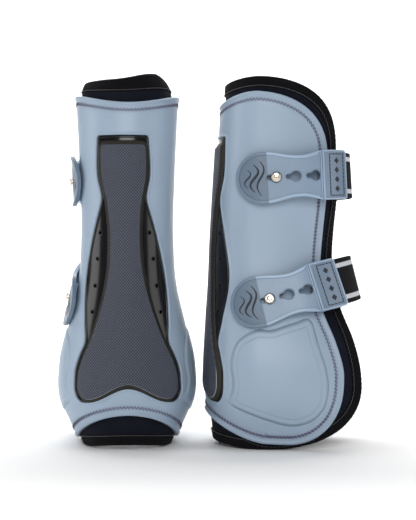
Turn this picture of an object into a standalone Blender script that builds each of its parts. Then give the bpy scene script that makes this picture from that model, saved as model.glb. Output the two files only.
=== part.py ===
# A pair of tendon boots for a horse's front legs. Each boot is a moulded shell over a
# neoprene liner with a bound edge, a strike pad on its base at the back, and two straps:
# an elastic that goes round the open front and a moulded tab that hooks on a stud.
# Metres, +Z up. One boot is drawn with its back towards -Y and its outer side towards +X.
import bpy
import bmesh
import numpy as np
from math import acos, asin, cos, pi, radians, sin, sqrt, tan
from mathutils import Matrix, Vector

mm = 0.001

# Overall size of one boot
boot_height = 260 * mm
fetlock_half_width = 48 * mm
boot_depth = 110 * mm

# How the pair stands: the left boot shows its back, the right boot its outer side
pair_gap = 6 * mm
left_turn = radians(3.9)
right_turn = radians(-93.4)

# Walls and the clearances between pieces that touch
shell_wall = 2.4 * mm
liner_wall = 5 * mm
liner_clearance = 0.8 * mm
fit_clearance = 0.35 * mm
cutter_margin = 3 * mm

# Section of the boot at nine heights: share of the height, then half width as a share of
# the fetlock's, then the back, the widest line and the front reach as shares of the depth
station_height = np.array([0, 0.062, 0.119, 0.223, 0.342, 0.438, 0.562, 0.754, 1])
station_width = np.array([0.698, 0.848, 0.979, 1, 0.854, 0.733, 0.685, 0.710, 0.779])
station_back = np.array([-0.336, -0.359, -0.369, -0.365, -0.350, -0.335, -0.323, -0.297, -0.259])
station_centre = np.array([0.013, 0.013, 0.013, 0.007, -0.023, -0.044, -0.045, -0.009, 0.006])
station_front = np.array([0.845, 0.845, 0.855, 0.836, 0.709, 0.591, 0.555, 0.545, 0.545])

# Edge of a wrapped sheet: heights as shares of the boot height, turns as shares of the way
# from the back to the front edge, and the front edge as (height, depth) shares from below.
# The liner's sides are drawn below the ground and stop at it, so the boot stands on flats
shell_edge = {
    "back_top": 0.930, "side_top": 0.956, "front_top": 0.791, "top_turn": 0.60,
    "back_bottom": 0.0954, "side_bottom": 0.0158, "front_bottom": 0.182, "bottom_turn": 0.80,
    "front": [(0.173, 0.515), (0.212, 0.515), (0.250, 0.496), (0.292, 0.464), (0.380, 0.382),
              (0.508, 0.375), (0.588, 0.391), (0.673, 0.411), (0.792, 0.418)],
}
liner_edge = {
    "back_top": 0.983, "side_top": 0.995, "front_top": 0.815, "top_turn": 0.56,
    "back_bottom": 0.018, "side_bottom": -0.005, "front_bottom": 0.173, "bottom_turn": 0.66,
    "front": [(0.173, 0.624), (0.204, 0.620), (0.292, 0.575), (0.377, 0.496),
              (0.512, 0.444), (0.588, 0.455), (0.673, 0.476), (0.815, 0.470)],
}

# Bound edge of the liner: a tape folded round it
binding_width = 7 * mm
binding_tape = 0.9 * mm
binding_clearance = 0.75 * mm

# Bone shaped outlines at the back: half widths as (height, width) shares of the boot's height
# and the fetlock's half width, and the ends' own heights
window_outline = {
    "width": [(0.177, 0.780), (0.215, 0.760), (0.258, 0.680), (0.281, 0.622), (0.335, 0.612),
              (0.400, 0.606), (0.473, 0.568), (0.550, 0.492), (0.600, 0.428), (0.635, 0.375),
              (0.665, 0.333), (0.731, 0.385), (0.841, 0.375)],
    "centre_bottom": 0.166, "lobe_bottom": 0.127, "side_bottom": 0.165, "lobe": 0.82,
    "top": 0.841, "corner_top": 0.833, "corner": 0.90,
}
pad_outline = {
    "width": [(0.169, 0.733), (0.204, 0.717), (0.242, 0.654), (0.281, 0.558), (0.350, 0.415),
              (0.415, 0.312), (0.481, 0.240), (0.546, 0.215), (0.600, 0.219), (0.665, 0.254),
              (0.731, 0.323), (0.815, 0.329)],
    "centre_bottom": 0.178, "lobe_bottom": 0.137, "side_bottom": 0.172, "lobe": 0.82,
    "top": 0.815, "corner_top": 0.806, "corner": 0.88,
}
# The window and the pad lean to the outer side about this height share
bone_lean = radians(1.2)
bone_lean_height = 0.25
base_recess = 0.4 * mm
base_clearance = 0.6 * mm
pad_rise = 2.2 * mm
vent_radius = 1.1 * mm
# Vents, one on each side: height share and distance from the middle as a share of the
# fetlock's half width
vents = [(0.580, 0.358), (0.510, 0.408), (0.438, 0.450), (0.368, 0.498)]

# Straps: the stud's height and depth as shares, the rise towards the front, the lean that
# follows the boot's flare, how far the elastic stands off the shell under the tab and at its
# sewn end, the depth share that it reaches in front, the one where its bend starts, and the
# radius of the tab's curl at its tip
straps = {
    "upper": {"height": 0.726, "depth": 0.095, "rise": radians(3.3), "lean": radians(-2.3),
              "stand": 1.05 * mm, "sewn_stand": 1.5 * mm, "front": 0.580, "bend": 0.180,
              "curl_radius": 40 * mm},
    "lower": {"height": 0.402, "depth": 0.056, "rise": radians(14), "lean": radians(11.7),
              "stand": 0.45 * mm, "sewn_stand": 3.0 * mm, "front": 0.610, "bend": 0.150,
              "curl_radius": 62 * mm},
}
elastic_width = 32 * mm
elastic_thickness = 1.8 * mm
elastic_sewn_depth = 0.27

# Tab, along the strap from the stud, positive towards the front: a flap with the keyholes
# that curls in at its tip and folds at a groove, and a plate that is sewn to the elastic
tab_thickness = 3 * mm
tab_end_radius = 17.9 * mm
tab_end_centre = -9 * mm
tab_curl_start = -8 * mm
tab_waist = 16.6 * mm
tab_waist_half = 14.1 * mm
tab_groove = 31 * mm
tab_plate_start = 34 * mm
tab_plate_end = 51 * mm
tab_plate_half = 17.2 * mm
keyhole_slot_length = 3.8 * mm
keyhole_pitch = 13.3 * mm
keyhole_count = 3

# Stud and its washer inside the shell
stud_head_radius = 3.35 * mm
stud_head_height = 1.7 * mm
stud_head_clearance = 0.4 * mm
stud_neck_radius = 1.6 * mm
stud_collar_radius = 4.5 * mm
stud_collar_height = 0.6 * mm
stud_shank_radius = 1.5 * mm
washer_radius = 5 * mm
washer_thickness = 0.8 * mm
washer_bore_clearance = 0.15 * mm
curved_seat_clearance = 0.9 * mm

# Sizes that follow from the ones above: the keyholes pass the stud, the tab's middle stands
# off the elastic's middle, and a strap's middle line begins behind the tab's tip
keyhole_radius = stud_head_radius + 0.55 * mm
keyhole_slot_half = stud_neck_radius + 0.4 * mm
tab_out = elastic_thickness / 2 + fit_clearance + tab_thickness / 2
tab_tip = tab_end_centre - tab_end_radius
strap_line_start = tab_tip - 5 * mm
bend_reach = tab_waist

# Mesh steps
shell_steps = (28, 16)
liner_steps = (28, 14)
row_crowding = 1.3
patch_steps = (12, 13)
round_steps = 14
vent_steps = 8
stud_hole_steps = 12
line_steps = 60
tip_steps = 7
flap_side_steps = 8
keyhole_steps = 11
slot_end_steps = 5
elastic_steps = 20
fold_steps = 25
tail_steps = 5
bend_step = 6 * mm

for old in list(bpy.data.objects):
    bpy.data.objects.remove(old, do_unlink=True)
parts = bpy.data.collections.new("tendon_boots")
cutters = bpy.data.collections.new("cutters")
bpy.context.scene.collection.children.link(parts)
bpy.context.scene.collection.children.link(cutters)


def make_material(name, colour, roughness, metallic=0.0):
    material = bpy.data.materials.new(name)
    material.use_nodes = True
    shader = material.node_tree.nodes["Principled BSDF"]
    shader.inputs["Base Color"].default_value = (*colour, 1)
    shader.inputs["Roughness"].default_value = roughness
    shader.inputs["Metallic"].default_value = metallic
    material.diffuse_color = (*colour, 1)
    return material


materials = {
    "shell": make_material("shell_blue", (0.39, 0.49, 0.61), 0.45),
    "liner": make_material("liner_neoprene", (0.012, 0.013, 0.022), 0.85),
    "binding": make_material("binding_tape", (0.010, 0.010, 0.012), 0.75),
    "base": make_material("base_black", (0.012, 0.012, 0.014), 0.22),
    "pad": make_material("pad_slate", (0.062, 0.068, 0.090), 0.55),
    "tab": make_material("tab_blue", (0.36, 0.46, 0.60), 0.40),
    "elastic": make_material("elastic_black", (0.012, 0.012, 0.014), 0.80),
    "metal": make_material("stud_nickel", (0.72, 0.66, 0.54), 0.22, 1.0),
}


# Smooth curve through points: a cubic between neighbours with slopes from their neighbours
def smooth_curve(x, xs, ys):
    xs = np.asarray(xs, float)
    ys = np.asarray(ys, float)
    slopes = np.gradient(ys, xs)
    x = np.clip(x, xs[0], xs[-1])
    i = np.clip(np.searchsorted(xs, x) - 1, 0, len(xs) - 2)
    width = xs[i + 1] - xs[i]
    t = (x - xs[i]) / width
    value = ys[i] * (1 + 2 * t) * (1 - t) ** 2 + ys[i + 1] * t * t * (3 - 2 * t)
    return value + width * (slopes[i] * t * (1 - t) ** 2 - slopes[i + 1] * t * t * (1 - t))


# Half width, back reach, front reach and the widest line's depth, at a share of the height
def section(height):
    half = fetlock_half_width * smooth_curve(height, station_height, station_width)
    centre = boot_depth * smooth_curve(height, station_height, station_centre)
    back = centre - boot_depth * smooth_curve(height, station_height, station_back)
    front = boot_depth * smooth_curve(height, station_height, station_front)
    return half, back, front, centre


# Point of the boot's skin: an ellipse quarter behind the widest line and one in front of it,
# both grown by the offset; the angle is 0 at the back and positive towards the outer side
def skin(angle, height, offset):
    half, back, front, centre = section(height)
    reach = np.where(np.abs(angle) <= pi / 2, back, front)
    x = (half + offset) * np.sin(angle)
    y = centre - (reach + offset) * np.cos(angle)
    return np.stack([x, y, boot_height * height + 0 * x], axis=-1)


# Angle at which the skin reaches a depth in front of the widest line
def angle_at_depth(depth, height, offset):
    half, back, front, centre = section(height)
    return np.arccos(np.clip((centre - depth) / (front + offset), -1, 1))


# Upper and lower edge of a wrapped sheet, across from the back (0) to the front edge (1)
def edge_heights(across, edge):
    rise = np.clip(across / edge["top_turn"], 0, 1)
    top = edge["back_top"] + (edge["side_top"] - edge["back_top"]) * rise * rise * (3 - 2 * rise)
    corner = np.clip((across - edge["top_turn"]) / (1 - edge["top_turn"]), 0, 1)
    top = edge["front_top"] + (top - edge["front_top"]) * np.sqrt(1 - corner ** 2)
    fall = np.clip(across / edge["bottom_turn"], 0, 1)
    low = edge["back_bottom"] + (edge["side_bottom"] - edge["back_bottom"]) * fall * fall * (3 - 2 * fall)
    corner = np.clip((across - edge["bottom_turn"]) / (1 - edge["bottom_turn"]), 0, 1)
    low = edge["front_bottom"] + (low - edge["front_bottom"]) * np.sqrt(1 - corner ** 2)
    return top, low


# Angle and height on a wrapped sheet: across runs -1 to 1 and up runs 0 to 1
def sheet_place(across, up, edge, offset):
    top, low = edge_heights(np.abs(across), edge)
    height = low + (top - low) * up
    heights, depths = np.array(edge["front"]).T
    depth = boot_depth * smooth_curve(height, heights, depths)
    return across * angle_at_depth(depth, height, offset), height


# Columns crowd towards the ends, so that rounded corners get their share
def crowd(t):
    return 1.5 * t - 0.5 * t ** 3


# Rows crowd towards the bottom, where the skin curls in
def crowd_low(t):
    return t ** row_crowding


def add_object(name, mesh, kind, parent=None):
    item = bpy.data.objects.new(name, mesh)
    parts.objects.link(item)
    mesh.materials.clear()
    mesh.materials.append(materials[kind])
    item.parent = parent
    return item


def add_empty(name, matrix, parent=None):
    empty = bpy.data.objects.new(name, None)
    empty.empty_display_size = 10 * mm
    parts.objects.link(empty)
    empty.parent = parent
    empty.matrix_local = matrix
    return empty


def finish_mesh(bm, name, smooth=True):
    bmesh.ops.recalc_face_normals(bm, faces=bm.faces)
    if bm.calc_volume(signed=True) < 0:
        bmesh.ops.reverse_faces(bm, faces=bm.faces)
    mesh = bpy.data.meshes.new(name)
    bm.to_mesh(mesh)
    bm.free()
    for face in mesh.polygons:
        face.use_smooth = smooth
    return mesh


# Sheet with two faces: a grid whose points (-1 to 1 both ways) are moved by a formula, once
# for each face, and joined round the border
def sheet(name, steps, formula, outer, inner, side):
    bm = bmesh.new()
    borders = []
    for offset in (outer, inner):
        made = bmesh.ops.create_grid(bm, x_segments=steps[0], y_segments=steps[1], size=1)["verts"]
        flat = np.array([vertex.co[:2] for vertex in made])
        for vertex, place in zip(made, formula(flat[:, 0], flat[:, 1], offset)):
            vertex.co = (side * place[0], place[1], place[2])
        borders += [edge for vertex in made for edge in vertex.link_edges if edge.is_boundary]
    bmesh.ops.bridge_loops(bm, edges=list(set(borders)))
    return finish_mesh(bm, name)


def cut(item, cutter):
    tool = item.modifiers.new(cutter.name, "BOOLEAN")
    tool.operation = "DIFFERENCE"
    tool.solver = "EXACT"
    tool.object = cutter


def hide_cutter(item):
    cutters.objects.link(item)
    item.hide_render = True
    item.display_type = "WIRE"


# Outline at the back: across runs -1 to 1 over the half width, up runs 0 to 1; the widths
# are true where the skin is offset by the drawn amount
def bone_place(across, up, outline, inset, drawn):
    heights, widths = np.array(outline["width"]).T
    away = np.abs(across)
    lobe = outline["lobe"]
    arch = np.clip(away / lobe, 0, 1)
    fall = outline["lobe_bottom"] - outline["centre_bottom"]
    low = outline["centre_bottom"] + fall * arch ** 2 * (3 - 2 * arch)
    round_low = np.clip((away - lobe) / (1 - lobe), 0, 1)
    low = outline["side_bottom"] + (low - outline["side_bottom"]) * np.sqrt(1 - round_low ** 2)
    round_top = np.clip((away - outline["corner"]) / (1 - outline["corner"]), 0, 1)
    top = outline["corner_top"] + (outline["top"] - outline["corner_top"]) * np.sqrt(1 - round_top ** 2)
    low = low + inset / boot_height
    top = top - inset / boot_height
    height = low + (top - low) * up
    half = fetlock_half_width * smooth_curve(height, heights, widths) - inset
    middle = boot_height * (height - bone_lean_height) * tan(bone_lean)
    return np.arcsin((across * half + middle) / (section(height)[0] + drawn)), height


def bone_sheet(name, outline, inset, drawn, outer, inner, side):
    def formula(a, b, offset):
        angle, height = bone_place(crowd(a), (b + 1) / 2, outline, inset, drawn)
        return skin(angle, height, offset)
    return sheet(name, patch_steps, formula, outer, inner, side)


# Cylinder that stands on a point and runs along a direction, as a cutter
def drill(name, radius, start, end, parent, steps=round_steps):
    bm = bmesh.new()
    length = (end - start).length
    bmesh.ops.create_cone(bm, cap_ends=True, segments=steps, radius1=radius, radius2=radius, depth=length)
    item = bpy.data.objects.new(name, finish_mesh(bm, name))
    item.parent = parent
    item.location = (start + end) / 2
    item.rotation_mode = "QUATERNION"
    item.rotation_quaternion = Vector((0, 0, 1)).rotation_difference(end - start)
    hide_cutter(item)
    return item


# Turned piece: a profile of (radius, height) points round +Z, closed on itself for a ring
def turned(name, profile, kind, parent, matrix, ring=False):
    bm = bmesh.new()
    corners = [bm.verts.new((radius, 0, height)) for radius, height in profile]
    ends = corners[1:] + corners[:1] if ring else corners[1:]
    for first, second in zip(corners, ends):
        bm.edges.new((first, second))
    mesh = bpy.data.meshes.new(name)
    bm.to_mesh(mesh)
    bm.free()
    item = add_object(name, mesh, kind, parent)
    item.matrix_local = matrix
    turn = item.modifiers.new("turn", "SCREW")
    turn.steps = round_steps
    turn.render_steps = round_steps
    turn.use_merge_vertices = True
    turn.merge_threshold = 0.00001
    turn.use_smooth_shade = True
    return item


def make_shell(prefix, side, boot):
    def formula(a, b, offset):
        angle, height = sheet_place(crowd(a), crowd_low((b + 1) / 2), shell_edge, 0)
        return skin(angle, height, offset)
    mesh = sheet(prefix + "shell", shell_steps, formula, 0, -shell_wall, side)
    shell = add_object(prefix + "shell", mesh, "shell", boot)
    reach = shell_wall + cutter_margin
    mesh = bone_sheet(prefix + "window", window_outline, 0, 0, reach, -reach, side)
    window = bpy.data.objects.new(prefix + "window_cutter", mesh)
    window.parent = boot
    hide_cutter(window)
    cut(shell, window)
    return shell


# The liner lies inside the shell and stands out past its edges
def make_liner(prefix, side, boot):
    outer = -shell_wall - liner_clearance
    foot = binding_tape + binding_clearance

    def formula(a, b, offset):
        angle, height = sheet_place(crowd(a), crowd_low((b + 1) / 2), liner_edge, outer)
        place = skin(angle, height, offset)
        place[:, 2] = np.maximum(place[:, 2], foot)
        return place
    mesh = sheet(prefix + "liner", liner_steps, formula, outer, outer - liner_wall, side)
    return add_object(prefix + "liner", mesh, "liner", boot)


# Angle and height all the way round the liner's edge, at the liner's own columns and rows
def liner_loop(offset):
    way = crowd(np.linspace(-1, 1, liner_steps[0] + 1))
    rise = crowd_low(np.linspace(0, 1, liner_steps[1] + 1))
    across = np.concatenate([way[:-1], np.ones(len(rise) - 1), way[:0:-1], -np.ones(len(rise) - 1)])
    up = np.concatenate([np.zeros(len(way) - 1), rise[:-1], np.ones(len(way) - 1), rise[:0:-1]])
    return sheet_place(across, up, liner_edge, offset)


# Moves a loop on the skin inwards by a distance, measured on the skin itself
def inset_loop(angle, height, inset):
    half, back, front, centre = section(height)
    reach = np.where(np.abs(angle) <= pi / 2, back, front)
    stretch = np.sqrt((half * np.cos(angle)) ** 2 + (reach * np.sin(angle)) ** 2)
    along = (np.roll(angle, -1) - np.roll(angle, 1)) * stretch
    rise = (np.roll(height, -1) - np.roll(height, 1)) * boot_height
    length = np.hypot(along, rise)
    return angle - inset * rise / length / stretch, height + inset * along / length / boot_height


# How far the tape's outer fold may reach: it stops short of the shell's lower edge
def fold_room(angle, height):
    front = angle_at_depth(boot_depth * shell_edge["front"][0][1], shell_edge["front_bottom"], 0)
    room = np.full(len(angle), binding_width)
    for inset in np.linspace(binding_width, binding_tape, fold_steps):
        moved_angle, moved_height = inset_loop(angle, height, inset)
        across = np.abs(moved_angle) / front
        low = edge_heights(np.clip(across, 0, 1), shell_edge)[1]
        short = boot_height * (low - moved_height) < binding_tape + binding_clearance
        room = np.where(short & (height < low) & (across < 1), inset, room)
    return room


# Tape folded round the liner's edge: a U profile carried round the loop
def make_binding(prefix, side, boot):
    outer = -shell_wall - liner_clearance
    inner = outer - liner_wall
    gap = binding_clearance
    tape = binding_tape
    angle, height = liner_loop(outer)
    fold = fold_room(angle, height)
    profile = [(fold, outer + gap, tape), (-gap, outer + gap, tape), (-gap, inner - gap, tape),
               (binding_width, inner - gap, tape), (binding_width, inner - gap - tape, 0),
               (-gap - tape, inner - gap - tape, 0), (-gap - tape, outer + gap + tape, 0),
               (fold, outer + gap + tape, 0)]
    rings = []
    for inset, offset, lowest in profile:
        loop = skin(*inset_loop(angle, height, inset), offset)
        loop[:, 2] = np.maximum(loop[:, 2], lowest)
        rings.append(loop)
    bm = bmesh.new()
    verts = [[bm.verts.new((side * p[0], p[1], p[2])) for p in ring] for ring in rings]
    count = len(angle)
    for k in range(len(profile)):
        after = (k + 1) % len(profile)
        for i in range(count):
            j = (i + 1) % count
            bm.faces.new((verts[k][i], verts[k][j], verts[after][j], verts[after][i]))
    name = prefix + "liner_binding"
    return add_object(name, finish_mesh(bm, name, False), "binding", boot)


def make_strike_base(prefix, side, boot):
    name = prefix + "strike_base"
    mesh = bone_sheet(name, window_outline, base_clearance, 0, -base_recess, -shell_wall, side)
    base = add_object(name, mesh, "base", boot)
    for hand in (-1, 1):
        for number, (height, distance) in enumerate(vents):
            half, back, front, centre = section(height)
            middle = boot_height * (height - bone_lean_height) * tan(bone_lean)
            angle = asin((hand * distance * fetlock_half_width + middle) / half)
            place = Vector(skin(np.array(angle), height, 0))
            place.x *= side
            out = Vector((side * sin(angle), -cos(angle), 0)) * 2 * shell_wall
            name = f"{prefix}vent_cutter_{hand + 1}{number}"
            cut(base, drill(name, vent_radius, place - out, place + out, boot, vent_steps))
    return base


def make_strike_pad(prefix, side, boot):
    foot = fit_clearance - base_recess
    mesh = bone_sheet(prefix + "strike_pad", pad_outline, 0, pad_rise, pad_rise, foot, side)
    return add_object(prefix + "strike_pad", mesh, "pad", boot)


# Middle line of a strap's elastic in the strap's own plane, as (distance from the stud,
# x, y, outward x, outward y): an arc at the tab's tip, straight past the stud, an ellipse
# quarter to the front, and part of another back to where it is sewn on the inner side
def strap_line(strap):
    half, back, front, centre = section(strap["height"])
    stud_y = strap["depth"] * boot_depth
    outer_x = half + strap["stand"] + elastic_thickness / 2
    inner_x = half + strap["sewn_stand"] + elastic_thickness / 2
    bend_y = strap["bend"] * boot_depth - stud_y
    front_y = (strap["front"] * boot_depth - stud_y) / cos(strap["rise"]) - elastic_thickness / 2
    inner_y = centre - stud_y
    sewn_y = elastic_sewn_depth * boot_depth - stud_y
    radius = strap["curl_radius"]
    curl = (tab_curl_start - np.linspace(strap_line_start, tab_curl_start, line_steps)[:-1]) / radius
    straight = np.linspace(tab_curl_start, bend_y, line_steps)[:-1]
    outer_turn = np.linspace(0, pi / 2, line_steps)
    inner_turn = np.linspace(0, acos((sewn_y - inner_y) / (front_y - inner_y)), line_steps)[1:]
    x = np.concatenate([outer_x - radius * (1 - np.cos(curl)), outer_x + 0 * straight,
                        outer_x * np.cos(outer_turn), -inner_x * np.sin(inner_turn)])
    y = np.concatenate([tab_curl_start - radius * np.sin(curl), straight,
                        bend_y + (front_y - bend_y) * np.sin(outer_turn),
                        inner_y + (front_y - inner_y) * np.cos(inner_turn)])
    step = np.hypot(np.diff(x), np.diff(y))
    distance = np.concatenate([[0], np.cumsum(step)]) + strap_line_start
    dx = np.gradient(x, distance)
    dy = np.gradient(y, distance)
    size = np.hypot(dx, dy)
    return distance, x, y, dy / size, -dx / size


# Point of a strap: along from the stud, across the width and out from the elastic's middle.
# The band leans with the shell at the sides and stands upright round the front
def strap_point(strap, along, across, out):
    distance, x, y, nx, ny = strap_line(strap)
    normal_x = np.interp(along, distance, nx)
    lean = strap["lean"] * np.clip(along / bend_reach, 0, 1) * (normal_x ** 2 - 1) + strap["lean"]
    away = out * np.cos(lean) - across * np.sin(lean)
    up = across * np.cos(lean) + out * np.sin(lean)
    px = np.interp(along, distance, x) + normal_x * away
    py = np.interp(along, distance, y) + np.interp(along, distance, ny) * away
    return np.stack([px, py, up], axis=-1)


# Half width of the tab: a round end, a waist and a straight plate
def tab_half(along):
    if along <= tab_end_centre:
        return sqrt(max(tab_end_radius ** 2 - (along - tab_end_centre) ** 2, 0))
    if along <= tab_waist:
        t = (along - tab_end_centre) / (tab_waist - tab_end_centre)
        return tab_waist_half + (tab_end_radius - tab_waist_half) * (0.5 + 0.5 * cos(pi * t))
    t = min((along - tab_waist) / (tab_plate_start - tab_waist), 1)
    return tab_waist_half + (tab_plate_half - tab_waist_half) * (0.5 - 0.5 * cos(pi * t))


# Outline along one side of the tab and back along the other
def mirrored_outline(stations):
    upper = [(along, tab_half(along)) for along in stations]
    return upper + [(along, -half) for along, half in reversed(upper)]


# Keyhole: a round hole that the stud's head passes and a slot that only its neck passes
def keyhole(centre):
    mouth = asin(keyhole_slot_half / keyhole_radius)
    round_part = [(centre - keyhole_radius * cos(t), keyhole_radius * sin(t))
                  for t in np.linspace(mouth, 2 * pi - mouth, keyhole_steps)]
    end = centre - keyhole_slot_length
    slot = [(end - keyhole_slot_half * sin(t), -keyhole_slot_half * cos(t))
            for t in np.linspace(0, pi, slot_end_steps)]
    return round_part + slot


# Flat moulding from outlines, filled between them and bent along the strap's line
def moulding(name, side, strap, outlines):
    flat = bpy.data.curves.new(name, "CURVE")
    flat.dimensions = "2D"
    flat.fill_mode = "BOTH"
    flat.extrude = tab_thickness / 2
    for outline in outlines:
        spline = flat.splines.new("POLY")
        spline.points.add(len(outline) - 1)
        spline.use_cyclic_u = True
        for point, (x, y) in zip(spline.points, outline):
            point.co = (x, y, 0, 1)
    holder = bpy.data.objects.new(name + "_flat", flat)
    bpy.context.scene.collection.objects.link(holder)
    bpy.context.view_layer.update()
    mesh = bpy.data.meshes.new_from_object(holder.evaluated_get(bpy.context.evaluated_depsgraph_get()))
    bpy.data.objects.remove(holder, do_unlink=True)
    bm = bmesh.new()
    bm.from_mesh(mesh)
    bmesh.ops.remove_doubles(bm, verts=bm.verts, dist=0.00001)
    for along in np.append(np.arange(tab_tip, tab_curl_start, bend_step),
                           np.arange(tab_waist, tab_plate_end, bend_step)):
        everything = list(bm.verts) + list(bm.edges) + list(bm.faces)
        bmesh.ops.bisect_plane(bm, geom=everything, plane_co=(along, 0, 0), plane_no=(1, 0, 0))
    flat = np.array([vertex.co for vertex in bm.verts])
    for vertex, place in zip(bm.verts, strap_point(strap, flat[:, 0], flat[:, 1], flat[:, 2] + tab_out)):
        vertex.co = (side * place[0], place[1], place[2])
    return finish_mesh(bm, name, False)


# The flap hooks on the stud and folds off it at the groove
def make_flap(prefix, side, strap, hinge):
    tip = [tab_end_centre - tab_end_radius * cos(t) for t in np.linspace(0, pi / 2, tip_steps)]
    rest = list(np.linspace(tab_end_centre, tab_groove - fit_clearance / 2, flap_side_steps)[1:])
    outline = [(tip[0], 0)] + mirrored_outline(tip[1:] + rest)
    holes = [keyhole(k * keyhole_pitch) for k in range(keyhole_count)]
    mesh = moulding(prefix + "tab", side, strap, [outline] + holes)
    mesh.transform(hinge.matrix_local.inverted())
    return add_object(prefix + "tab", mesh, "tab", hinge)


# The plate beyond the groove stays with the elastic that is sewn under it
def make_plate(prefix, side, strap, frame):
    outline = mirrored_outline([tab_groove + fit_clearance / 2, tab_plate_start, tab_plate_end])
    mesh = moulding(prefix + "tab_plate", side, strap, [outline])
    return add_object(prefix + "tab_plate", mesh, "tab", frame)


# A stretch of the elastic between two distances along the strap
def make_elastic(name, side, strap, start, end, steps, frame):
    def formula(a, b, offset):
        along = start + (end - start) * (a + 1) / 2
        return strap_point(strap, along, b * elastic_width / 2, offset)
    mesh = sheet(name, (steps, 1), formula, elastic_thickness / 2, -elastic_thickness / 2, side)
    return add_object(name, mesh, "elastic", frame)


# Where the stud meets the shell and the way it points, in the strap's own frame
def stud_frame(side, strap):
    height = strap["height"]
    half, back, front, centre = section(height)
    outwards = Vector((side * cos(strap["lean"]), 0, sin(strap["lean"])))
    tab_middle = Vector(strap_point(strap, np.zeros(1), 0, tab_out)[0])
    forward = strap["depth"] * boot_depth - centre
    shell_x = half * sqrt(1 - (forward / front) ** 2)
    stand = (tab_middle.x - shell_x) * cos(strap["lean"]) + tab_middle.z * sin(strap["lean"])
    tab_middle.x *= side
    turn = Vector((0, 0, 1)).rotation_difference(outwards).to_matrix().to_4x4()
    return Matrix.Translation(tab_middle - outwards * stand) @ turn, stand


def make_stud(prefix, side, strap, frame):
    matrix, stand = stud_frame(side, strap)
    under = stand + tab_thickness / 2 + stud_head_clearance
    collar = stud_collar_height
    gap = curved_seat_clearance
    foot = shell_wall + curved_seat_clearance + washer_thickness + fit_clearance
    head = [(share * stud_head_radius, under + rise * stud_head_height)
            for share, rise in [(0, 1), (0.55, 0.92), (0.92, 0.6), (1, 0.2), (0.94, 0)]]
    profile = head + [(stud_neck_radius, under), (stud_neck_radius, gap + collar),
                      (stud_collar_radius, gap + collar), (stud_collar_radius, gap),
                      (stud_shank_radius, gap), (stud_shank_radius, -foot), (0, -foot)]
    return turned(prefix + "stud", profile, "metal", frame, matrix)


# Washer in a pocket of the liner, clear of the shell's hollow inner face
def make_washer(prefix, side, strap, frame):
    matrix, stand = stud_frame(side, strap)
    bore = stud_shank_radius + washer_bore_clearance
    top = -shell_wall - curved_seat_clearance
    low = top - washer_thickness
    profile = [(bore, top), (washer_radius, top), (washer_radius, low), (bore, low)]
    return turned(prefix + "stud_washer", profile, "metal", frame, matrix, ring=True)


def make_strap(prefix, side, strap, boot, shell, liner):
    place = Vector((0, strap["depth"] * boot_depth, strap["height"] * boot_height))
    matrix = Matrix.Translation(place) @ Matrix.Rotation(strap["rise"], 4, "X")
    frame = add_empty(prefix + "strap_frame", matrix, boot)
    outer_face = tab_out + tab_thickness / 2
    fold = strap_point(strap, np.array([tab_groove]), 0, outer_face)[0]
    above = strap_point(strap, np.array([tab_groove]), tab_plate_half, outer_face)[0]
    axis = Vector((side * (above[0] - fold[0]), above[1] - fold[1], above[2] - fold[2]))
    turn = Vector((0, 0, 1)).rotation_difference(axis).to_matrix().to_4x4()
    matrix = Matrix.Translation((side * fold[0], fold[1], fold[2])) @ turn
    hinge = add_empty(prefix + "tab_hinge", matrix, frame)
    make_flap(prefix, side, strap, hinge)
    make_plate(prefix, side, strap, frame)
    tail_end = tab_plate_end - fit_clearance / 2
    make_elastic(prefix + "elastic_tail", side, strap, tab_plate_start, tail_end, tail_steps, frame)
    elastic_start = tab_plate_end + fit_clearance / 2
    elastic_end = strap_line(strap)[0][-1]
    make_elastic(prefix + "elastic", side, strap, elastic_start, elastic_end, elastic_steps, frame)
    make_stud(prefix, side, strap, frame)
    make_washer(prefix, side, strap, frame)
    matrix, stand = stud_frame(side, strap)
    foot = matrix.translation
    out = matrix.col[2].to_3d()
    hole = stud_shank_radius + fit_clearance
    reach = out * 2 * (shell_wall + curved_seat_clearance)
    cut(shell, drill(prefix + "stud_hole_cutter", hole, foot - reach, foot + reach, frame, stud_hole_steps))
    pocket = washer_radius + fit_clearance
    depth = shell_wall + curved_seat_clearance + washer_thickness + 2 * fit_clearance
    cut(liner, drill(prefix + "washer_pocket_cutter", pocket, foot - out * depth, foot, frame))


def make_boot(name, side, place, turn):
    prefix = name + "_"
    boot = add_empty(prefix + "boot_place", Matrix.Translation(place) @ Matrix.Rotation(turn, 4, "Z"))
    shell = make_shell(prefix, side, boot)
    liner = make_liner(prefix, side, boot)
    make_binding(prefix, side, boot)
    make_strike_base(prefix, side, boot)
    make_strike_pad(prefix, side, boot)
    for level, strap in straps.items():
        make_strap(f"{prefix}{level}_", side, strap, boot, shell, liner)
    return boot


# Moves both boots so that the pair's box is centred on the origin
def centre_pair(places):
    bpy.context.view_layer.update()
    graph = bpy.context.evaluated_depsgraph_get()
    corners = []
    for item in parts.objects:
        if item.type == "MESH":
            solid = item.evaluated_get(graph)
            points = np.empty(3 * len(solid.data.vertices))
            solid.data.vertices.foreach_get("co", points)
            world = np.array(solid.matrix_world)
            corners.append(points.reshape(-1, 3) @ world[:3, :3].T + world[:3, 3])
    corners = np.concatenate(corners)
    middle = (corners.min(axis=0) + corners.max(axis=0)) / 2
    for place in places:
        place.location.x -= middle[0]
        place.location.y -= middle[1]


back_reach = -boot_depth * station_back.min() + pad_rise
left_place = Vector((-fetlock_half_width - pair_gap / 2, 0, 0))
right_place = Vector((back_reach + pair_gap / 2, 0, 0))
left_boot = make_boot("left", -1, left_place, left_turn)
right_boot = make_boot("right", 1, right_place, right_turn)
centre_pair([left_boot, right_boot])
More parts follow.
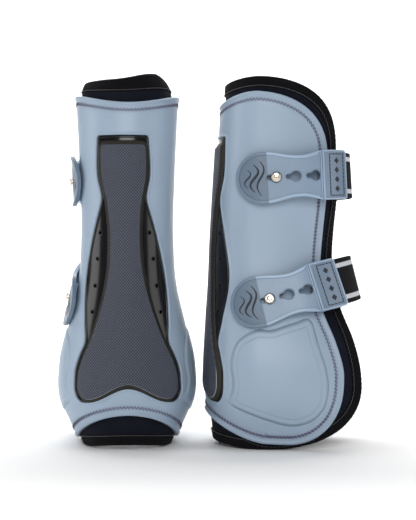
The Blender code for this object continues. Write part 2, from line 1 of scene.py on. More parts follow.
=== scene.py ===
import bpy
import bmesh
import numpy as np
from math import acos, asin, cos, pi, radians, sin, sqrt, tan
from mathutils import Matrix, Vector


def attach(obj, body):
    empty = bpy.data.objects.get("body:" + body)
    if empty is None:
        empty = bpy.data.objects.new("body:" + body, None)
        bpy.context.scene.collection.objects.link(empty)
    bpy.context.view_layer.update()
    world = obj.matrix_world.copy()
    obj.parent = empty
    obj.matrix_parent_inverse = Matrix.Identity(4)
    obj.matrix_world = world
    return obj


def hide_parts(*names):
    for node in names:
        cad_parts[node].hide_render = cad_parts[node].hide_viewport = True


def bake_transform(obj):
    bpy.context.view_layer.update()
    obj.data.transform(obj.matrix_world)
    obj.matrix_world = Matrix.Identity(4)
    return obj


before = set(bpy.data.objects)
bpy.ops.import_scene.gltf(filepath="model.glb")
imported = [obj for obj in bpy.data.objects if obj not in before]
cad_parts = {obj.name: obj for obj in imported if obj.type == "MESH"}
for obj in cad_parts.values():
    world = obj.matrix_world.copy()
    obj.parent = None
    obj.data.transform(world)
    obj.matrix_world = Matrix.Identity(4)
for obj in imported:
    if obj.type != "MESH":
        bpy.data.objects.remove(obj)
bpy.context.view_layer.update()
mm = 0.001
print("frame loaded")

# The two boots: hand, place on the ground, turn about the vertical, how far the rim leans
# and the radius of each tab's curl
boots = [
    {"name": "left", "side": -1, "x": -0.06031, "y": -0.01206, "turn": radians(3.9), "sway": 1.0,
     "curl": {"upper": 38 * mm, "lower": 62 * mm}},
    {"name": "right", "side": 1, "x": 0.03648, "y": -0.01206, "turn": radians(-93.4), "sway": 0.2,
     "curl": {"upper": 40 * mm, "lower": 62 * mm}},
]

# The boot's own body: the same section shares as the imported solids
body = {
    "height": 0.260, "halfWidth": 0.048, "depth": 0.110,
    "shellWall": 0.0024, "linerGap": 0.0008, "linerWall": 0.005,
    "lean": radians(1.2), "leanHeight": 0.25,
    "heights": [0, 0.062, 0.119, 0.223, 0.342, 0.438, 0.562, 0.754, 1],
    "widths": [0.698, 0.848, 0.979, 1, 0.854, 0.733, 0.685, 0.710, 0.779],
    "backs": [-0.336, -0.359, -0.369, -0.365, -0.350, -0.335, -0.323, -0.297, -0.259],
    "centres": [0.013, 0.013, 0.013, 0.007, -0.023, -0.044, -0.045, -0.009, 0.006],
    "fronts": [0.845, 0.845, 0.855, 0.836, 0.709, 0.591, 0.555, 0.545, 0.545],
}

shellEdge = {
    "backTop": 0.930, "sideTop": 0.956, "frontTop": 0.791, "topTurn": 0.60,
    "backBottom": 0.0954, "sideBottom": 0.0158, "frontBottom": 0.182, "bottomTurn": 0.80,
    "front": [(0.173, 0.515), (0.212, 0.515), (0.250, 0.496), (0.292, 0.464), (0.380, 0.382),
              (0.508, 0.375), (0.588, 0.391), (0.673, 0.411), (0.792, 0.418)],
}
linerEdge = {
    "backTop": 0.983, "sideTop": 0.995, "frontTop": 0.815, "topTurn": 0.56,
    "backBottom": 0.018, "sideBottom": 0.003, "frontBottom": 0.173, "bottomTurn": 0.66,
    "front": [(0.173, 0.624), (0.204, 0.620), (0.292, 0.575), (0.377, 0.496),
              (0.512, 0.444), (0.588, 0.455), (0.673, 0.476), (0.815, 0.470)],
}
windowOutline = {
    "width": [(0.177, 0.780), (0.215, 0.760), (0.258, 0.680), (0.281, 0.622), (0.335, 0.612),
              (0.400, 0.606), (0.473, 0.568), (0.550, 0.492), (0.600, 0.428), (0.635, 0.375),
              (0.665, 0.333), (0.731, 0.385), (0.841, 0.375)],
    "centreBottom": 0.166, "lobeBottom": 0.127, "sideBottom": 0.165, "lobe": 0.82,
    "top": 0.841, "cornerTop": 0.833, "corner": 0.90,
}
padOutline = {
    "width": [(0.169, 0.733), (0.204, 0.717), (0.242, 0.654), (0.281, 0.558), (0.350, 0.415),
              (0.415, 0.312), (0.481, 0.240), (0.546, 0.215), (0.600, 0.219), (0.665, 0.254),
              (0.731, 0.323), (0.815, 0.329)],
    "centreBottom": 0.178, "lobeBottom": 0.137, "sideBottom": 0.172, "lobe": 0.82,
    "top": 0.815, "cornerTop": 0.806, "corner": 0.88,
}

# Cubic Hermite between neighbours, slopes from finite differences:
# y = yi(1+2t)(1-t)^2 + yj t^2(3-2t) + w(si t(1-t)^2 - sj t^2(1-t)), t = (x-xi)/w
def smoothCurve(x, xs, ys):
    xs = np.asarray(xs, float)
    ys = np.asarray(ys, float)
    slopes = np.gradient(ys, xs)
    x = np.clip(x, xs[0], xs[-1])
    i = np.clip(np.searchsorted(xs, x) - 1, 0, len(xs) - 2)
    width = xs[i + 1] - xs[i]
    t = (x - xs[i]) / width
    value = ys[i] * (1 + 2 * t) * (1 - t) ** 2 + ys[i + 1] * t * t * (3 - 2 * t)
    return value + width * (slopes[i] * t * (1 - t) ** 2 - slopes[i + 1] * t * t * (1 - t))


# s(x) = 3x^2 - 2x^3 on 0..1, held at its ends outside
def smoothStep(low, high, x):
    t = np.clip((x - low) / (high - low), 0, 1)
    return t * t * (3 - 2 * t)


# Half width, back reach, front reach and centre depth at a share of the height
def section(height):
    half = body["halfWidth"] * smoothCurve(height, body["heights"], body["widths"])
    centre = body["depth"] * smoothCurve(height, body["heights"], body["centres"])
    back = centre - body["depth"] * smoothCurve(height, body["heights"], body["backs"])
    front = body["depth"] * smoothCurve(height, body["heights"], body["fronts"])
    return half, back, front, centre


# (x, y, z) = ((w+d) sin a, c - (r+d) cos a, H h), with r the back or the front reach
def skin(angle, height, offset):
    half, back, front, centre = section(height)
    reach = np.where(np.abs(angle) <= pi / 2, back, front)
    x = (half + offset) * np.sin(angle)
    y = centre - (reach + offset) * np.cos(angle)
    return np.stack([x, y, body["height"] * height + 0 * x], axis=-1)


# a = arccos((c - y) / (f + d))
def angleAtDepth(depth, height, offset):
    half, back, front, centre = section(height)
    return np.arccos(np.clip((centre - depth) / (front + offset), -1, 1))


# Top and bottom edge: a smooth rise or fall, then an ellipse quarter down to the front edge
def edgeHeights(across, edge):
    rise = np.clip(across / edge["topTurn"], 0, 1)
    top = edge["backTop"] + (edge["sideTop"] - edge["backTop"]) * rise * rise * (3 - 2 * rise)
    corner = np.clip((across - edge["topTurn"]) / (1 - edge["topTurn"]), 0, 1)
    top = edge["frontTop"] + (top - edge["frontTop"]) * np.sqrt(1 - corner ** 2)
    fall = np.clip(across / edge["bottomTurn"], 0, 1)
    rise = edge["sideBottom"] - edge["backBottom"]
    low = edge["backBottom"] + rise * fall * fall * (3 - 2 * fall)
    corner = np.clip((across - edge["bottomTurn"]) / (1 - edge["bottomTurn"]), 0, 1)
    low = edge["frontBottom"] + (low - edge["frontBottom"]) * np.sqrt(1 - corner ** 2)
    return top, low


# Angle and height of a place on a sheet: the share across goes round to the front edge and
# the share up runs from the lower to the top edge
def sheetPlace(across, up, edge, offset):
    top, low = edgeHeights(np.abs(across), edge)
    height = low + (top - low) * up
    heights, depths = np.array(edge["front"]).T
    depth = body["depth"] * smoothCurve(height, heights, depths)
    return across * angleAtDepth(depth, height, offset), height


# Points crowd towards the ends: c(t) = 1.5 t - 0.5 t^3
def crowd(t):
    return 1.5 * t - 0.5 * t ** 3


# The window and the pad lean to the outer side: m(h) = H (h - h0) tan(lean)
def boneMiddle(height):
    return body["height"] * (height - body["leanHeight"]) * tan(body["lean"])


# Bone outline: a = arcsin((s w(h) + m(h)) / (W + d)), h between the arched bottom and the
# rounded top
def bonePlace(across, up, outline, inset, drawn):
    heights, widths = np.array(outline["width"]).T
    away = np.abs(across)
    low = outline["centreBottom"] + (outline["lobeBottom"] - outline["centreBottom"]) * smoothStep(
        0, outline["lobe"], away)
    turned = np.clip((away - outline["lobe"]) / (1 - outline["lobe"]), 0, 1)
    low = outline["sideBottom"] + (low - outline["sideBottom"]) * np.sqrt(1 - turned ** 2)
    turned = np.clip((away - outline["corner"]) / (1 - outline["corner"]), 0, 1)
    top = outline["cornerTop"] + (outline["top"] - outline["cornerTop"]) * np.sqrt(1 - turned ** 2)
    low = low + inset / body["height"]
    top = top - inset / body["height"]
    height = low + (top - low) * up
    half = body["halfWidth"] * smoothCurve(height, heights, widths) - inset
    return np.arcsin((across * half + boneMiddle(height)) / (section(height)[0] + drawn)), height


# Border of the (across, up) square, anticlockwise: bottom, right, top, left
def squareLoop(around, side):
    way = crowd(np.linspace(-1, 1, around + 1))
    rise = np.linspace(0, 1, side + 1)
    ones = np.ones(side)
    across = np.concatenate([way[:-1], ones, way[:0:-1], -ones])
    up = np.concatenate([np.zeros(around), rise[:-1], np.ones(around), rise[:0:-1]])
    return across, up


# Moves a closed loop on the skin inwards by e: (a, h) + e n / (metric), n normal to the loop
def insetLoop(angle, height, inset):
    half, back, front, centre = section(height)
    reach = np.where(np.abs(angle) <= pi / 2, back, front)
    stretch = np.sqrt((half * np.cos(angle)) ** 2 + (reach * np.sin(angle)) ** 2)
    along = (np.roll(angle, -1) - np.roll(angle, 1)) * stretch
    rise = (np.roll(height, -1) - np.roll(height, 1)) * body["height"]
    length = np.hypot(along, rise)
    return angle - inset * rise / length / stretch, height + inset * along / length / body["height"]


# Evenly spaced points on a closed loop of (angle, height), by its length on the skin
def evenLoop(angle, height, count):
    places = skin(angle, height, 0)
    steps = np.linalg.norm(np.roll(places, -1, axis=0) - places, axis=1)
    length = np.concatenate([[0], np.cumsum(steps)])
    wanted = np.linspace(0, length[-1], count, endpoint=False)
    closedAngle = np.append(angle, angle[0])
    closedHeight = np.append(height, height[0])
    evenAngle = np.interp(wanted, length, closedAngle)
    return evenAngle, np.interp(wanted, length, closedHeight), length[-1]


# World place of boot points: mirrored by the hand, turned and moved
def toWorld(points, boot):
    x = points[..., 0] * boot["side"]
    y = points[..., 1]
    c, s = cos(boot["turn"]), sin(boot["turn"])
    return np.stack([boot["x"] + c * x - s * y, boot["y"] + s * x + c * y, points[..., 2]], axis=-1)


# Quads of an n by m grid of points, closed either way if asked
def gridFaces(n, m, closeN=False, closeM=False, start=0):
    i = np.arange(n if closeN else n - 1)
    j = np.arange(m if closeM else m - 1)
    i, j = [part.ravel() for part in np.meshgrid(i, j, indexing="ij")]
    k, l = (i + 1) % n, (j + 1) % m
    return start + np.stack([i * m + j, k * m + j, k * m + l, i * m + l], axis=1)


# Mesh from points and faces; its faces are turned outwards by the sign of its volume
def putMesh(name, points, faces, marks=None):
    points = np.asarray(points, float).reshape(-1, 3)
    middle = points.mean(axis=0)
    volume = 0
    for face in (faces if isinstance(faces, list) else [faces]):
        corners = points[face] - middle
        volume += np.sum(np.cross(corners[:, 0], corners[:, 1]) * corners[:, 2])
        if face.shape[1] == 4:
            volume += np.sum(np.cross(corners[:, 0], corners[:, 2]) * corners[:, 3])
    rows = []
    for face in (faces if isinstance(faces, list) else [faces]):
        rows += (face if volume > 0 else face[:, ::-1]).tolist()
    mesh = bpy.data.meshes.new(name)
    mesh.from_pydata(points.tolist(), [], rows)
    mesh.polygons.foreach_set("use_smooth", np.ones(len(mesh.polygons), bool))
    for mark, values in (marks or {}).items():
        layer = mesh.attributes.new(mark, "FLOAT_VECTOR", "POINT")
        layer.data.foreach_set("vector", np.asarray(values, float).reshape(-1, 3).ravel())
    mesh.update()
    return mesh


# Puts a mesh in the scene with its look, its body and the pieces it replaces
def putObject(name, mesh, material, bodyName, nodes=()):
    item = bpy.data.objects.new(name, mesh)
    bpy.context.scene.collection.objects.link(item)
    mesh.materials.append(material)
    if bodyName:
        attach(item, bodyName)
    if nodes:
        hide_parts(*nodes)
    return item


# Carries a closed profile of (sideways, outwards) points along a path with known normals
def sweep(path, normals, profile, closed):
    if closed:
        tangent = np.roll(path, -1, axis=0) - np.roll(path, 1, axis=0)
    else:
        tangent = np.gradient(path, axis=0)
    tangent /= np.linalg.norm(tangent, axis=1, keepdims=True)
    sideways = np.cross(tangent, normals)
    sideways /= np.linalg.norm(sideways, axis=1, keepdims=True)
    out = np.cross(sideways, tangent)
    profile = np.asarray(profile, float)
    points = (path[:, None] + sideways[:, None] * profile[None, :, :1]
              + out[:, None] * profile[None, :, 1:])
    n, m = points.shape[:2]
    faces = [gridFaces(n, m, closed, True)]
    if not closed:
        fan = np.arange(1, m - 1)
        faces.append(np.stack([0 * fan, fan, fan + 1], axis=1))
        faces.append((n - 1) * m + np.stack([0 * fan, fan + 1, fan], axis=1))
    return points.reshape(-1, 3), faces


# Round profile: (r cos t, r sin t), flattened outwards by a factor
def roundProfile(radius, sides, flat=1.0):
    t = np.linspace(0, 2 * pi, sides, endpoint=False)
    return np.stack([radius * np.cos(t), flat * radius * np.sin(t)], axis=1)


# Joins several (points, faces) lists to one
def joinShapes(shapes):
    points, faces, start = [], [], 0
    for shapePoints, shapeFaces in shapes:
        points.append(shapePoints)
        faces += [face + start for face in shapeFaces]
        start += len(shapePoints)
    return np.concatenate(points), faces


# Shader node with its settings; sockets are linked and plain values are set
def addNode(tree, kind, inputs=None, **settings):
    made = tree.nodes.new(kind)
    for key, value in settings.items():
        setattr(made, key, value)
    for key, value in (inputs or {}).items():
        if isinstance(value, bpy.types.NodeSocket):
            tree.links.new(value, made.inputs[key])
        else:
            made.inputs[key].default_value = value
    return made


# One sum, product or function of up to three values
def mathNode(tree, operation, first, second=0.0, third=0.0):
    made = addNode(tree, "ShaderNodeMath", {0: first, 1: second, 2: third}, operation=operation)
    return made.outputs[0]


# Two colours (three parts each) mixed by a factor
def mixColour(tree, factor, first, second):
    colours = [value if isinstance(value, bpy.types.NodeSocket) else (*value, 1)
               for value in (first, second)]
    inputs = {0: factor, 6: colours[0], 7: colours[1]}
    return addNode(tree, "ShaderNodeMix", inputs, data_type="RGBA").outputs[2]


# Line from (low, first) to (high, second), held flat outside
def remap(tree, value, low, high, first=0.0, second=1.0, kind="LINEAR"):
    inputs = {"Value": value, "From Min": low, "From Max": high, "To Min": first, "To Max": second}
    return addNode(tree, "ShaderNodeMapRange", inputs, interpolation_type=kind).outputs[0]


# How far a value is from a middle
def distanceFrom(tree, value, middle):
    return mathNode(tree, "ABSOLUTE", mathNode(tree, "SUBTRACT", value, middle))


# Shared effect: opens a node group with the named inputs and one output
def newGroup(name, inputs, output):
    group = bpy.data.node_groups.new(name, "ShaderNodeTree")
    for key, kind in inputs.items():
        group.interface.new_socket(name=key, in_out="INPUT", socket_type=kind)
    group.interface.new_socket(name=output, in_out="OUTPUT", socket_type="NodeSocketFloat")
    return group, addNode(group, "NodeGroupInput").outputs, addNode(group, "NodeGroupOutput").inputs


# Clouds and grain: fractal noise of the place
def makeGrainGroup():
    keys = ["Scale", "Detail", "Roughness"]
    kinds = {"Place": "NodeSocketVector", **{key: "NodeSocketFloat" for key in keys}}
    group, given, made = newGroup("grain", kinds, "Grain")
    inputs = {"Vector": given["Place"], **{key: given[key] for key in keys}}
    cloud = addNode(group, "ShaderNodeTexNoise", inputs)
    group.links.new(cloud.outputs["Fac"], made["Grain"])
    return group


# Threads that cross: |sin(pi a / p)| (k + (1 - k) |sin(pi b / q)|)
def makeWeaveGroup():
    keys = ["Along", "Across", "Along Pitch", "Across Pitch", "Base"]
    group, given, made = newGroup("weave", {key: "NodeSocketFloat" for key in keys}, "Weave")
    waves = []
    for place, pitch in (("Along", "Along Pitch"), ("Across", "Across Pitch")):
        phase = mathNode(group, "MULTIPLY", given[place], pi)
        phase = mathNode(group, "DIVIDE", phase, given[pitch])
        waves.append(mathNode(group, "ABSOLUTE", mathNode(group, "SINE", phase)))
    rest = mathNode(group, "SUBTRACT", 1.0, given["Base"])
    second = mathNode(group, "MULTIPLY_ADD", waves[1], rest, given["Base"])
    group.links.new(mathNode(group, "MULTIPLY", waves[0], second), made["Weave"])
    return group


sharedGroups = {"grain": makeGrainGroup(), "weave": makeWeaveGroup()}


# Shared effect used by a material
def useGroup(tree, name, inputs):
    return addNode(tree, "ShaderNodeGroup", inputs, node_tree=sharedGroups[name])


# Clouds between 0 and 1 at the place times a scale
def noise(tree, place, scale, detail=3.0, roughness=0.55):
    inputs = {"Place": place, "Scale": scale, "Detail": detail, "Roughness": roughness}
    return useGroup(tree, "grain", inputs).outputs["Grain"]


# Crossing threads between 0 and 1 at the given pitches
def weaveOf(tree, along, across, alongPitch, acrossPitch, floor):
    inputs = {"Along": along, "Across": across, "Along Pitch": alongPitch,
              "Across Pitch": acrossPitch, "Base": floor}
    return useGroup(tree, "weave", inputs).outputs["Weave"]


# Surface normal tilted by the slope of a height
def bump(tree, height, strength, distance, normal=None):
    inputs = {"Height": height, "Strength": strength, "Distance": distance}
    if normal is not None:
        inputs["Normal"] = normal
    return addNode(tree, "ShaderNodeBump", inputs).outputs["Normal"]


# Material with the given settings, and the place in the piece's own measures
def newMaterial(name, settings):
    material = bpy.data.materials.new(name)
    material.use_nodes = True
    tree = material.node_tree
    shader = tree.nodes["Principled BSDF"]
    for key, value in settings.items():
        shader.inputs[key].default_value = value
    coordinates = addNode(tree, "ShaderNodeTexCoord").outputs["Object"]
    return material, tree, shader, coordinates


# The three parts of a value kept with the mesh
def meshParts(tree, name):
    vector = addNode(tree, "ShaderNodeAttribute", attribute_name=name).outputs["Vector"]
    return addNode(tree, "ShaderNodeSeparateXYZ", {0: vector}).outputs


plastic = {"cloud": 22, "speck": 240, "grain": 1500, "clouding": 0.5, "pitting": 0.22,
           "relief": 0.25 * mm}
ribs = {"end": (-6.2 * mm, -5.6 * mm), "pitch": 1.1 * mm, "depth": 0.9, "paintedShadeAndTone": 0.70,
        "foot": 3.75 * mm, "footSoft": (0.20 * mm, 0.35 * mm), "footPaintedShade": 0.6}
moulding = {"seam": 9 * mm, "seamPaintedShade": 0.30, "creases": (-1.3 * mm, 3.6 * mm),
            "creaseWidth": 1.0 * mm, "secondCrease": 0.6, "paintedShadeAndTone": 0.7,
            "bevel": (-1.3 * mm, 0.8 * mm), "creaseDepth": 0.5, "relief": 0.7 * mm}


# Ribs of the tab's round end, h = sin(2 pi y / p), and painted shade round the foot of its rim
def ribbedFace(tree, mixed, dark, height):
    parts = meshParts(tree, "place")
    zone = remap(tree, parts[0], *ribs["end"], 1.0, 0.0)
    rib = mathNode(tree, "SINE", mathNode(tree, "MULTIPLY", parts[1], 2 * pi / ribs["pitch"]))
    height = mathNode(tree, "MULTIPLY_ADD", mathNode(tree, "MULTIPLY", rib, zone), ribs["depth"],
                      height)
    # The ribbed end is darker, partly for its own tone and partly as painted shade of the curled
    # tip.
    mixed = mixColour(tree, mathNode(tree, "MULTIPLY", zone, ribs["paintedShadeAndTone"]), mixed, dark)
    # Painted shade round the foot of the rim, where the rim meets the web.
    foot = remap(tree, distanceFrom(tree, parts[2], ribs["foot"]), *ribs["footSoft"],
                 ribs["footPaintedShade"], 0.0)
    return mixColour(tree, foot, mixed, dark), height


# Shell face: painted shade and grime along the sewn edge and in the creases of the raised panel's
# bevel
def panelFace(tree, mixed, dark):
    # Painted shade and grime along the sewn edge, fading over the first 9 mm.
    seam = remap(tree, meshParts(tree, "place")[2], 0.0, moulding["seam"],
                 moulding["seamPaintedShade"], 0.0)
    mixed = mixColour(tree, seam, mixed, dark)
    panel = meshParts(tree, "panel")
    creases = [remap(tree, distanceFrom(tree, panel[0], depth), 0.0, moulding["creaseWidth"],
                     1.0, 0.0, "SMOOTHSTEP") for depth in moulding["creases"]]
    both = mathNode(tree, "MULTIPLY_ADD", creases[1], moulding["secondCrease"], creases[0])
    crease = mathNode(tree, "MULTIPLY", both, panel[1])
    # The creases are darkened with painted shade and grime.
    mixed = mixColour(tree, mathNode(tree, "MULTIPLY", crease, moulding["paintedShadeAndTone"]), mixed, dark)
    bevel = remap(tree, panel[0], *moulding["bevel"], 0.0, 1.0, "SMOOTHSTEP")
    step = mathNode(tree, "SUBTRACT", mathNode(tree, "MULTIPLY", bevel, panel[1]),
                    mathNode(tree, "MULTIPLY", crease, moulding["creaseDepth"]))
    return mixed, bump(tree, step, 1.0, moulding["relief"])


# Moulded polyurethane: clouded colour and a fine grain under a thin clear skin
def mouldedPlastic(name, colour, dark, roughness, ribbed=False):
    material, tree, shader, place = newMaterial(name, {
        "Specular IOR Level": 0.45, "Coat Weight": 0.12, "Coat Roughness": 0.35})
    cloud = noise(tree, place, plastic["cloud"], 4)
    grain = noise(tree, place, plastic["grain"], 2)
    speck = noise(tree, place, plastic["speck"])
    mixed = mixColour(tree, mathNode(tree, "MULTIPLY", cloud, plastic["clouding"]), colour, dark)
    height = mathNode(tree, "MULTIPLY_ADD", speck, 0.4, mathNode(tree, "MULTIPLY", grain, 0.6))
    normal = None
    if ribbed:
        mixed, height = ribbedFace(tree, mixed, dark, height)
    else:
        mixed, normal = panelFace(tree, mixed, dark)
    tree.links.new(mixed, shader.inputs["Base Color"])
    rough = remap(tree, speck, 0.0, 1.0, roughness - 0.05, roughness + 0.10)
    tree.links.new(rough, shader.inputs["Roughness"])
    pitted = bump(tree, height, plastic["pitting"], plastic["relief"], normal)
    tree.links.new(pitted, shader.inputs["Normal"])
    return material


knitFace = {"cloud": 60, "fuzz": 2600, "fuzzDepth": 0.5, "relief": 0.3 * mm}


# Knitted face: two crossing ribs h = |sin u| |sin v| in the sheet's own measures
def knit(name, colour, light, pitch, strength):
    material, tree, shader, place = newMaterial(name, {
        "Sheen Weight": 0.02, "Sheen Roughness": 0.5, "Specular IOR Level": 0.08,
        "Roughness": 0.82})
    parts = meshParts(tree, "place")
    weave = weaveOf(tree, parts[0], parts[1], pitch, pitch, 0.0)
    cloud = noise(tree, place, knitFace["cloud"], 4)
    mixed = mixColour(tree, mathNode(tree, "MULTIPLY", weave, cloud), colour, light)
    tree.links.new(mixed, shader.inputs["Base Color"])
    fuzz = noise(tree, place, knitFace["fuzz"], 2)
    height = mathNode(tree, "MULTIPLY_ADD", fuzz, knitFace["fuzzDepth"], weave)
    tree.links.new(bump(tree, height, strength, knitFace["relief"]), shader.inputs["Normal"])
    return material


gloss = {"colour": (0.004, 0.004, 0.005), "smear": 35, "roughness": (0.08, 0.24), "ripple": 260,
         "rippling": 0.05, "relief": 0.3 * mm}


# Glossy black base with faint smears
def glossBlack(name):
    material, tree, shader, place = newMaterial(name, {
        "Base Color": (*gloss["colour"], 1), "IOR": 1.45, "Specular IOR Level": 0.5})
    smear = noise(tree, place, gloss["smear"], 5, 0.65)
    tree.links.new(remap(tree, smear, 0.0, 1.0, *gloss["roughness"]), shader.inputs["Roughness"])
    ripple = bump(tree, noise(tree, place, gloss["ripple"], 2), gloss["rippling"], gloss["relief"])
    tree.links.new(ripple, shader.inputs["Normal"])
    return material


padFace = {
    # groove is the near-black painted shade of the lattice grooves
    "pitch": 2.25 * mm, "slope": 1.25, "groove": (0.003, 0.004, 0.007),
    "point": (0.118, 0.130, 0.175), "cloudColour": (0.044, 0.048, 0.062), "clouding": 0.22,
    # light is the colour of a painted highlight line along the pad's lower border
    "walls": ((0.014, 0.013, 0.010), (0.024, 0.022, 0.017)), "light": (0.42, 0.45, 0.48),
    "highlightHeights": (52 * mm, 58 * mm), "roughness": (0.42, 0.60), "relief": 0.5 * mm,
}


# Slate pad: pyramids h = min(|sin p|, |sin q|) with p, q the place turned by about 45
# degrees, painted shade in the grooves, smooth walls, and a painted highlight line round the lower
# end
def latticePad(name):
    material, tree, shader, place = newMaterial(name, {"Specular IOR Level": 0.3})
    across, along, mark = meshParts(tree, "place")
    wall = mathNode(tree, "GREATER_THAN", mark, 0.6)
    top = mathNode(tree, "LESS_THAN", mark, 0.3)
    rounded = remap(tree, distanceFrom(tree, mark, 0.4), 0.05, 0.25, 1.0, 0.0)
    turned = []
    for operation in ("ADD", "SUBTRACT"):
        sloped = mathNode(tree, "MULTIPLY", across, padFace["slope"])
        sheared = mathNode(tree, operation, sloped, along)
        phase = mathNode(tree, "MULTIPLY", sheared, pi / padFace["pitch"])
        turned.append(mathNode(tree, "ABSOLUTE", mathNode(tree, "SINE", phase)))
    groove = remap(tree, mathNode(tree, "MINIMUM", turned[0], turned[1]), 0.0, 0.8)
    grain = noise(tree, place, 900)
    cloud = noise(tree, place, 30, 4)
    # The grooves get a near-black painted shade; the points keep the slate colour.
    shade = mixColour(tree, groove, padFace["groove"], padFace["point"])
    shade = mixColour(tree, mathNode(tree, "MULTIPLY", cloud, padFace["clouding"]), shade,
                      padFace["cloudColour"])
    shade = mixColour(tree, wall, shade, mixColour(tree, cloud, *padFace["walls"]))
    # Painted highlight along the lower border of the top face, on the rounded shoulder.
    low = remap(tree, along, *padFace["highlightHeights"], 1.0, 0.0)
    shade = mixColour(tree, mathNode(tree, "MULTIPLY", low, rounded), shade, padFace["light"])
    tree.links.new(shade, shader.inputs["Base Color"])
    tree.links.new(remap(tree, grain, 0.0, 1.0, *padFace["roughness"]), shader.inputs["Roughness"])
    height = mathNode(tree, "MULTIPLY_ADD", mathNode(tree, "MULTIPLY", groove, top), 1.0,
                      mathNode(tree, "MULTIPLY", grain, 0.12))
    tree.links.new(bump(tree, height, 0.75, padFace["relief"]), shader.inputs["Normal"])
    return material


webbing = {
    "stripe": 11.3 * mm, "stripeSoft": (1.4 * mm, 1.7 * mm), "alongPitch": 0.9 * mm,
    "acrossPitch": 0.7 * mm, "weaveFloor": 0.5, "fuzz": 2400, "fuzzDepth": 0.4,
    "black": ((0.003, 0.003, 0.004), (0.012, 0.012, 0.015)),
    "white": ((0.42, 0.43, 0.46), (0.80, 0.81, 0.84)), "relief": 0.4 * mm,
}


# Woven elastic: ribs across the band, a finer rib along it, and a white stripe near each edge
def wovenElastic(name):
    settings = {"Roughness": 0.8, "Specular IOR Level": 0.15}
    material, tree, shader, place = newMaterial(name, settings)
    along, across = meshParts(tree, "place")[:2]
    away = distanceFrom(tree, mathNode(tree, "ABSOLUTE", across), webbing["stripe"])
    stripe = remap(tree, away, *webbing["stripeSoft"], 1.0, 0.0)
    weave = weaveOf(tree, along, across, webbing["alongPitch"], webbing["acrossPitch"],
                    webbing["weaveFloor"])
    black = mixColour(tree, weave, *webbing["black"])
    white = mixColour(tree, weave, *webbing["white"])
    tree.links.new(mixColour(tree, stripe, black, white), shader.inputs["Base Color"])
    fuzz = noise(tree, place, webbing["fuzz"], 2)
    height = mathNode(tree, "MULTIPLY_ADD", fuzz, webbing["fuzzDepth"], weave)
    tree.links.new(bump(tree, height, 0.6, webbing["relief"]), shader.inputs["Normal"])
    return material


# Sewing thread: strands between a darker and a lighter shade of one colour
def sewingThread(name, colour):
    material, tree, shader, place = newMaterial(name, {"Roughness": 0.6, "Sheen Weight": 0.3})
    strand = noise(tree, place, 1800, 2)
    shades = [[share * part for part in colour] for share in (0.6, 1.5)]
    tree.links.new(mixColour(tree, strand, *shades), shader.inputs["Base Color"])
    tree.links.new(bump(tree, strand, 0.5, 0.3 * mm), shader.inputs["Normal"])
    return material


nickelFace = {"wear": 420, "colours": ((0.86, 0.82, 0.74), (0.72, 0.62, 0.46)),
              "roughness": (0.10, 0.34)}


# Polished stud: a slightly warm nickel with fine wear
def nickel(name):
    material, tree, shader, place = newMaterial(name, {"Metallic": 1.0})
    wear = noise(tree, place, nickelFace["wear"], 4, 0.7)
    tree.links.new(mixColour(tree, wear, *nickelFace["colours"]), shader.inputs["Base Color"])
    rough = remap(tree, wear, 0.0, 1.0, *nickelFace["roughness"])
    tree.links.new(rough, shader.inputs["Roughness"])
    return material


materials = {
    "shell": mouldedPlastic("shellBlue", (0.322, 0.412, 0.518), (0.25, 0.325, 0.42), 0.40),
    "tab": mouldedPlastic("tabBlue", (0.375, 0.495, 0.655), (0.085, 0.125, 0.175), 0.34, True),
    "liner": knit("linerKnit", (0.004, 0.005, 0.009), (0.017, 0.019, 0.036), 0.8 * mm, 0.5),
    "tape": knit("edgeTape", (0.003, 0.003, 0.004), (0.009, 0.009, 0.011), 1.1 * mm, 0.8),
    "base": glossBlack("baseGloss"),
    "pad": latticePad("padLattice"),
    "elastic": wovenElastic("elasticWeave"),
    "thread": sewingThread("shellThread", (0.075, 0.062, 0.125)),
    "darkThread": sewingThread("tapeThread", (0.016, 0.016, 0.020)),
    "navy": sewingThread("motifNavy", (0.010, 0.013, 0.026)),
    "metal": nickel("studNickel"),
}
print("materials made")


shell = {
    "around": 300, "side": 170, "rows": 64, "panelRise": 0.9 * mm, "panelBevel": 2.6 * mm,
    "panelFrom": (0.9, 1.2), "lipHeight": 0.9 * mm, "lipWidth": 2.6 * mm, "beadHeight": 0.7 * mm,
    "beadWidth": 1.8 * mm, "roundness": 0.7, "dip": 0.35 * mm, "dipWidth": 1.6 * mm,
    "insets": np.concatenate([[0.05, 0.15, 0.4], np.linspace(0.8, 8, 13)]) * mm,
    "outsets": np.concatenate([np.linspace(2.6, 0.8, 6), [0.4, 0.15, 0.05]]) * mm,
    "innerLoops": [-1, -20, 20, 0],
}
# Outline of the raised fetlock panel, seen from the side, as (depth, height) in millimetres
panelOutline = [(-3.5, 82.6), (-15.2, 75.0), (-20.1, 61.2), (-18.3, 47.3), (-20.4, 38.2),
                (-22.2, 34.2), (-10.4, 28.6), (10.4, 21.0), (20.8, 18.9), (27.7, 19.6), (34.6, 22.4),
                (40.2, 27.9), (43.6, 34.9), (45.0, 45.2), (44.0, 54.2), (41.5, 63.9), (38.1, 74.3),
                (33.2, 89.6), (24.2, 87.8), (15.9, 85.4), (6.9, 82.6)]
edgeStitch = {"inset": 5.6 * mm, "swing": 1.05 * mm, "pitch": 2.5 * mm, "thread": 0.22 * mm,
              "stand": 0.12 * mm, "arch": 0.12 * mm, "points": 8}


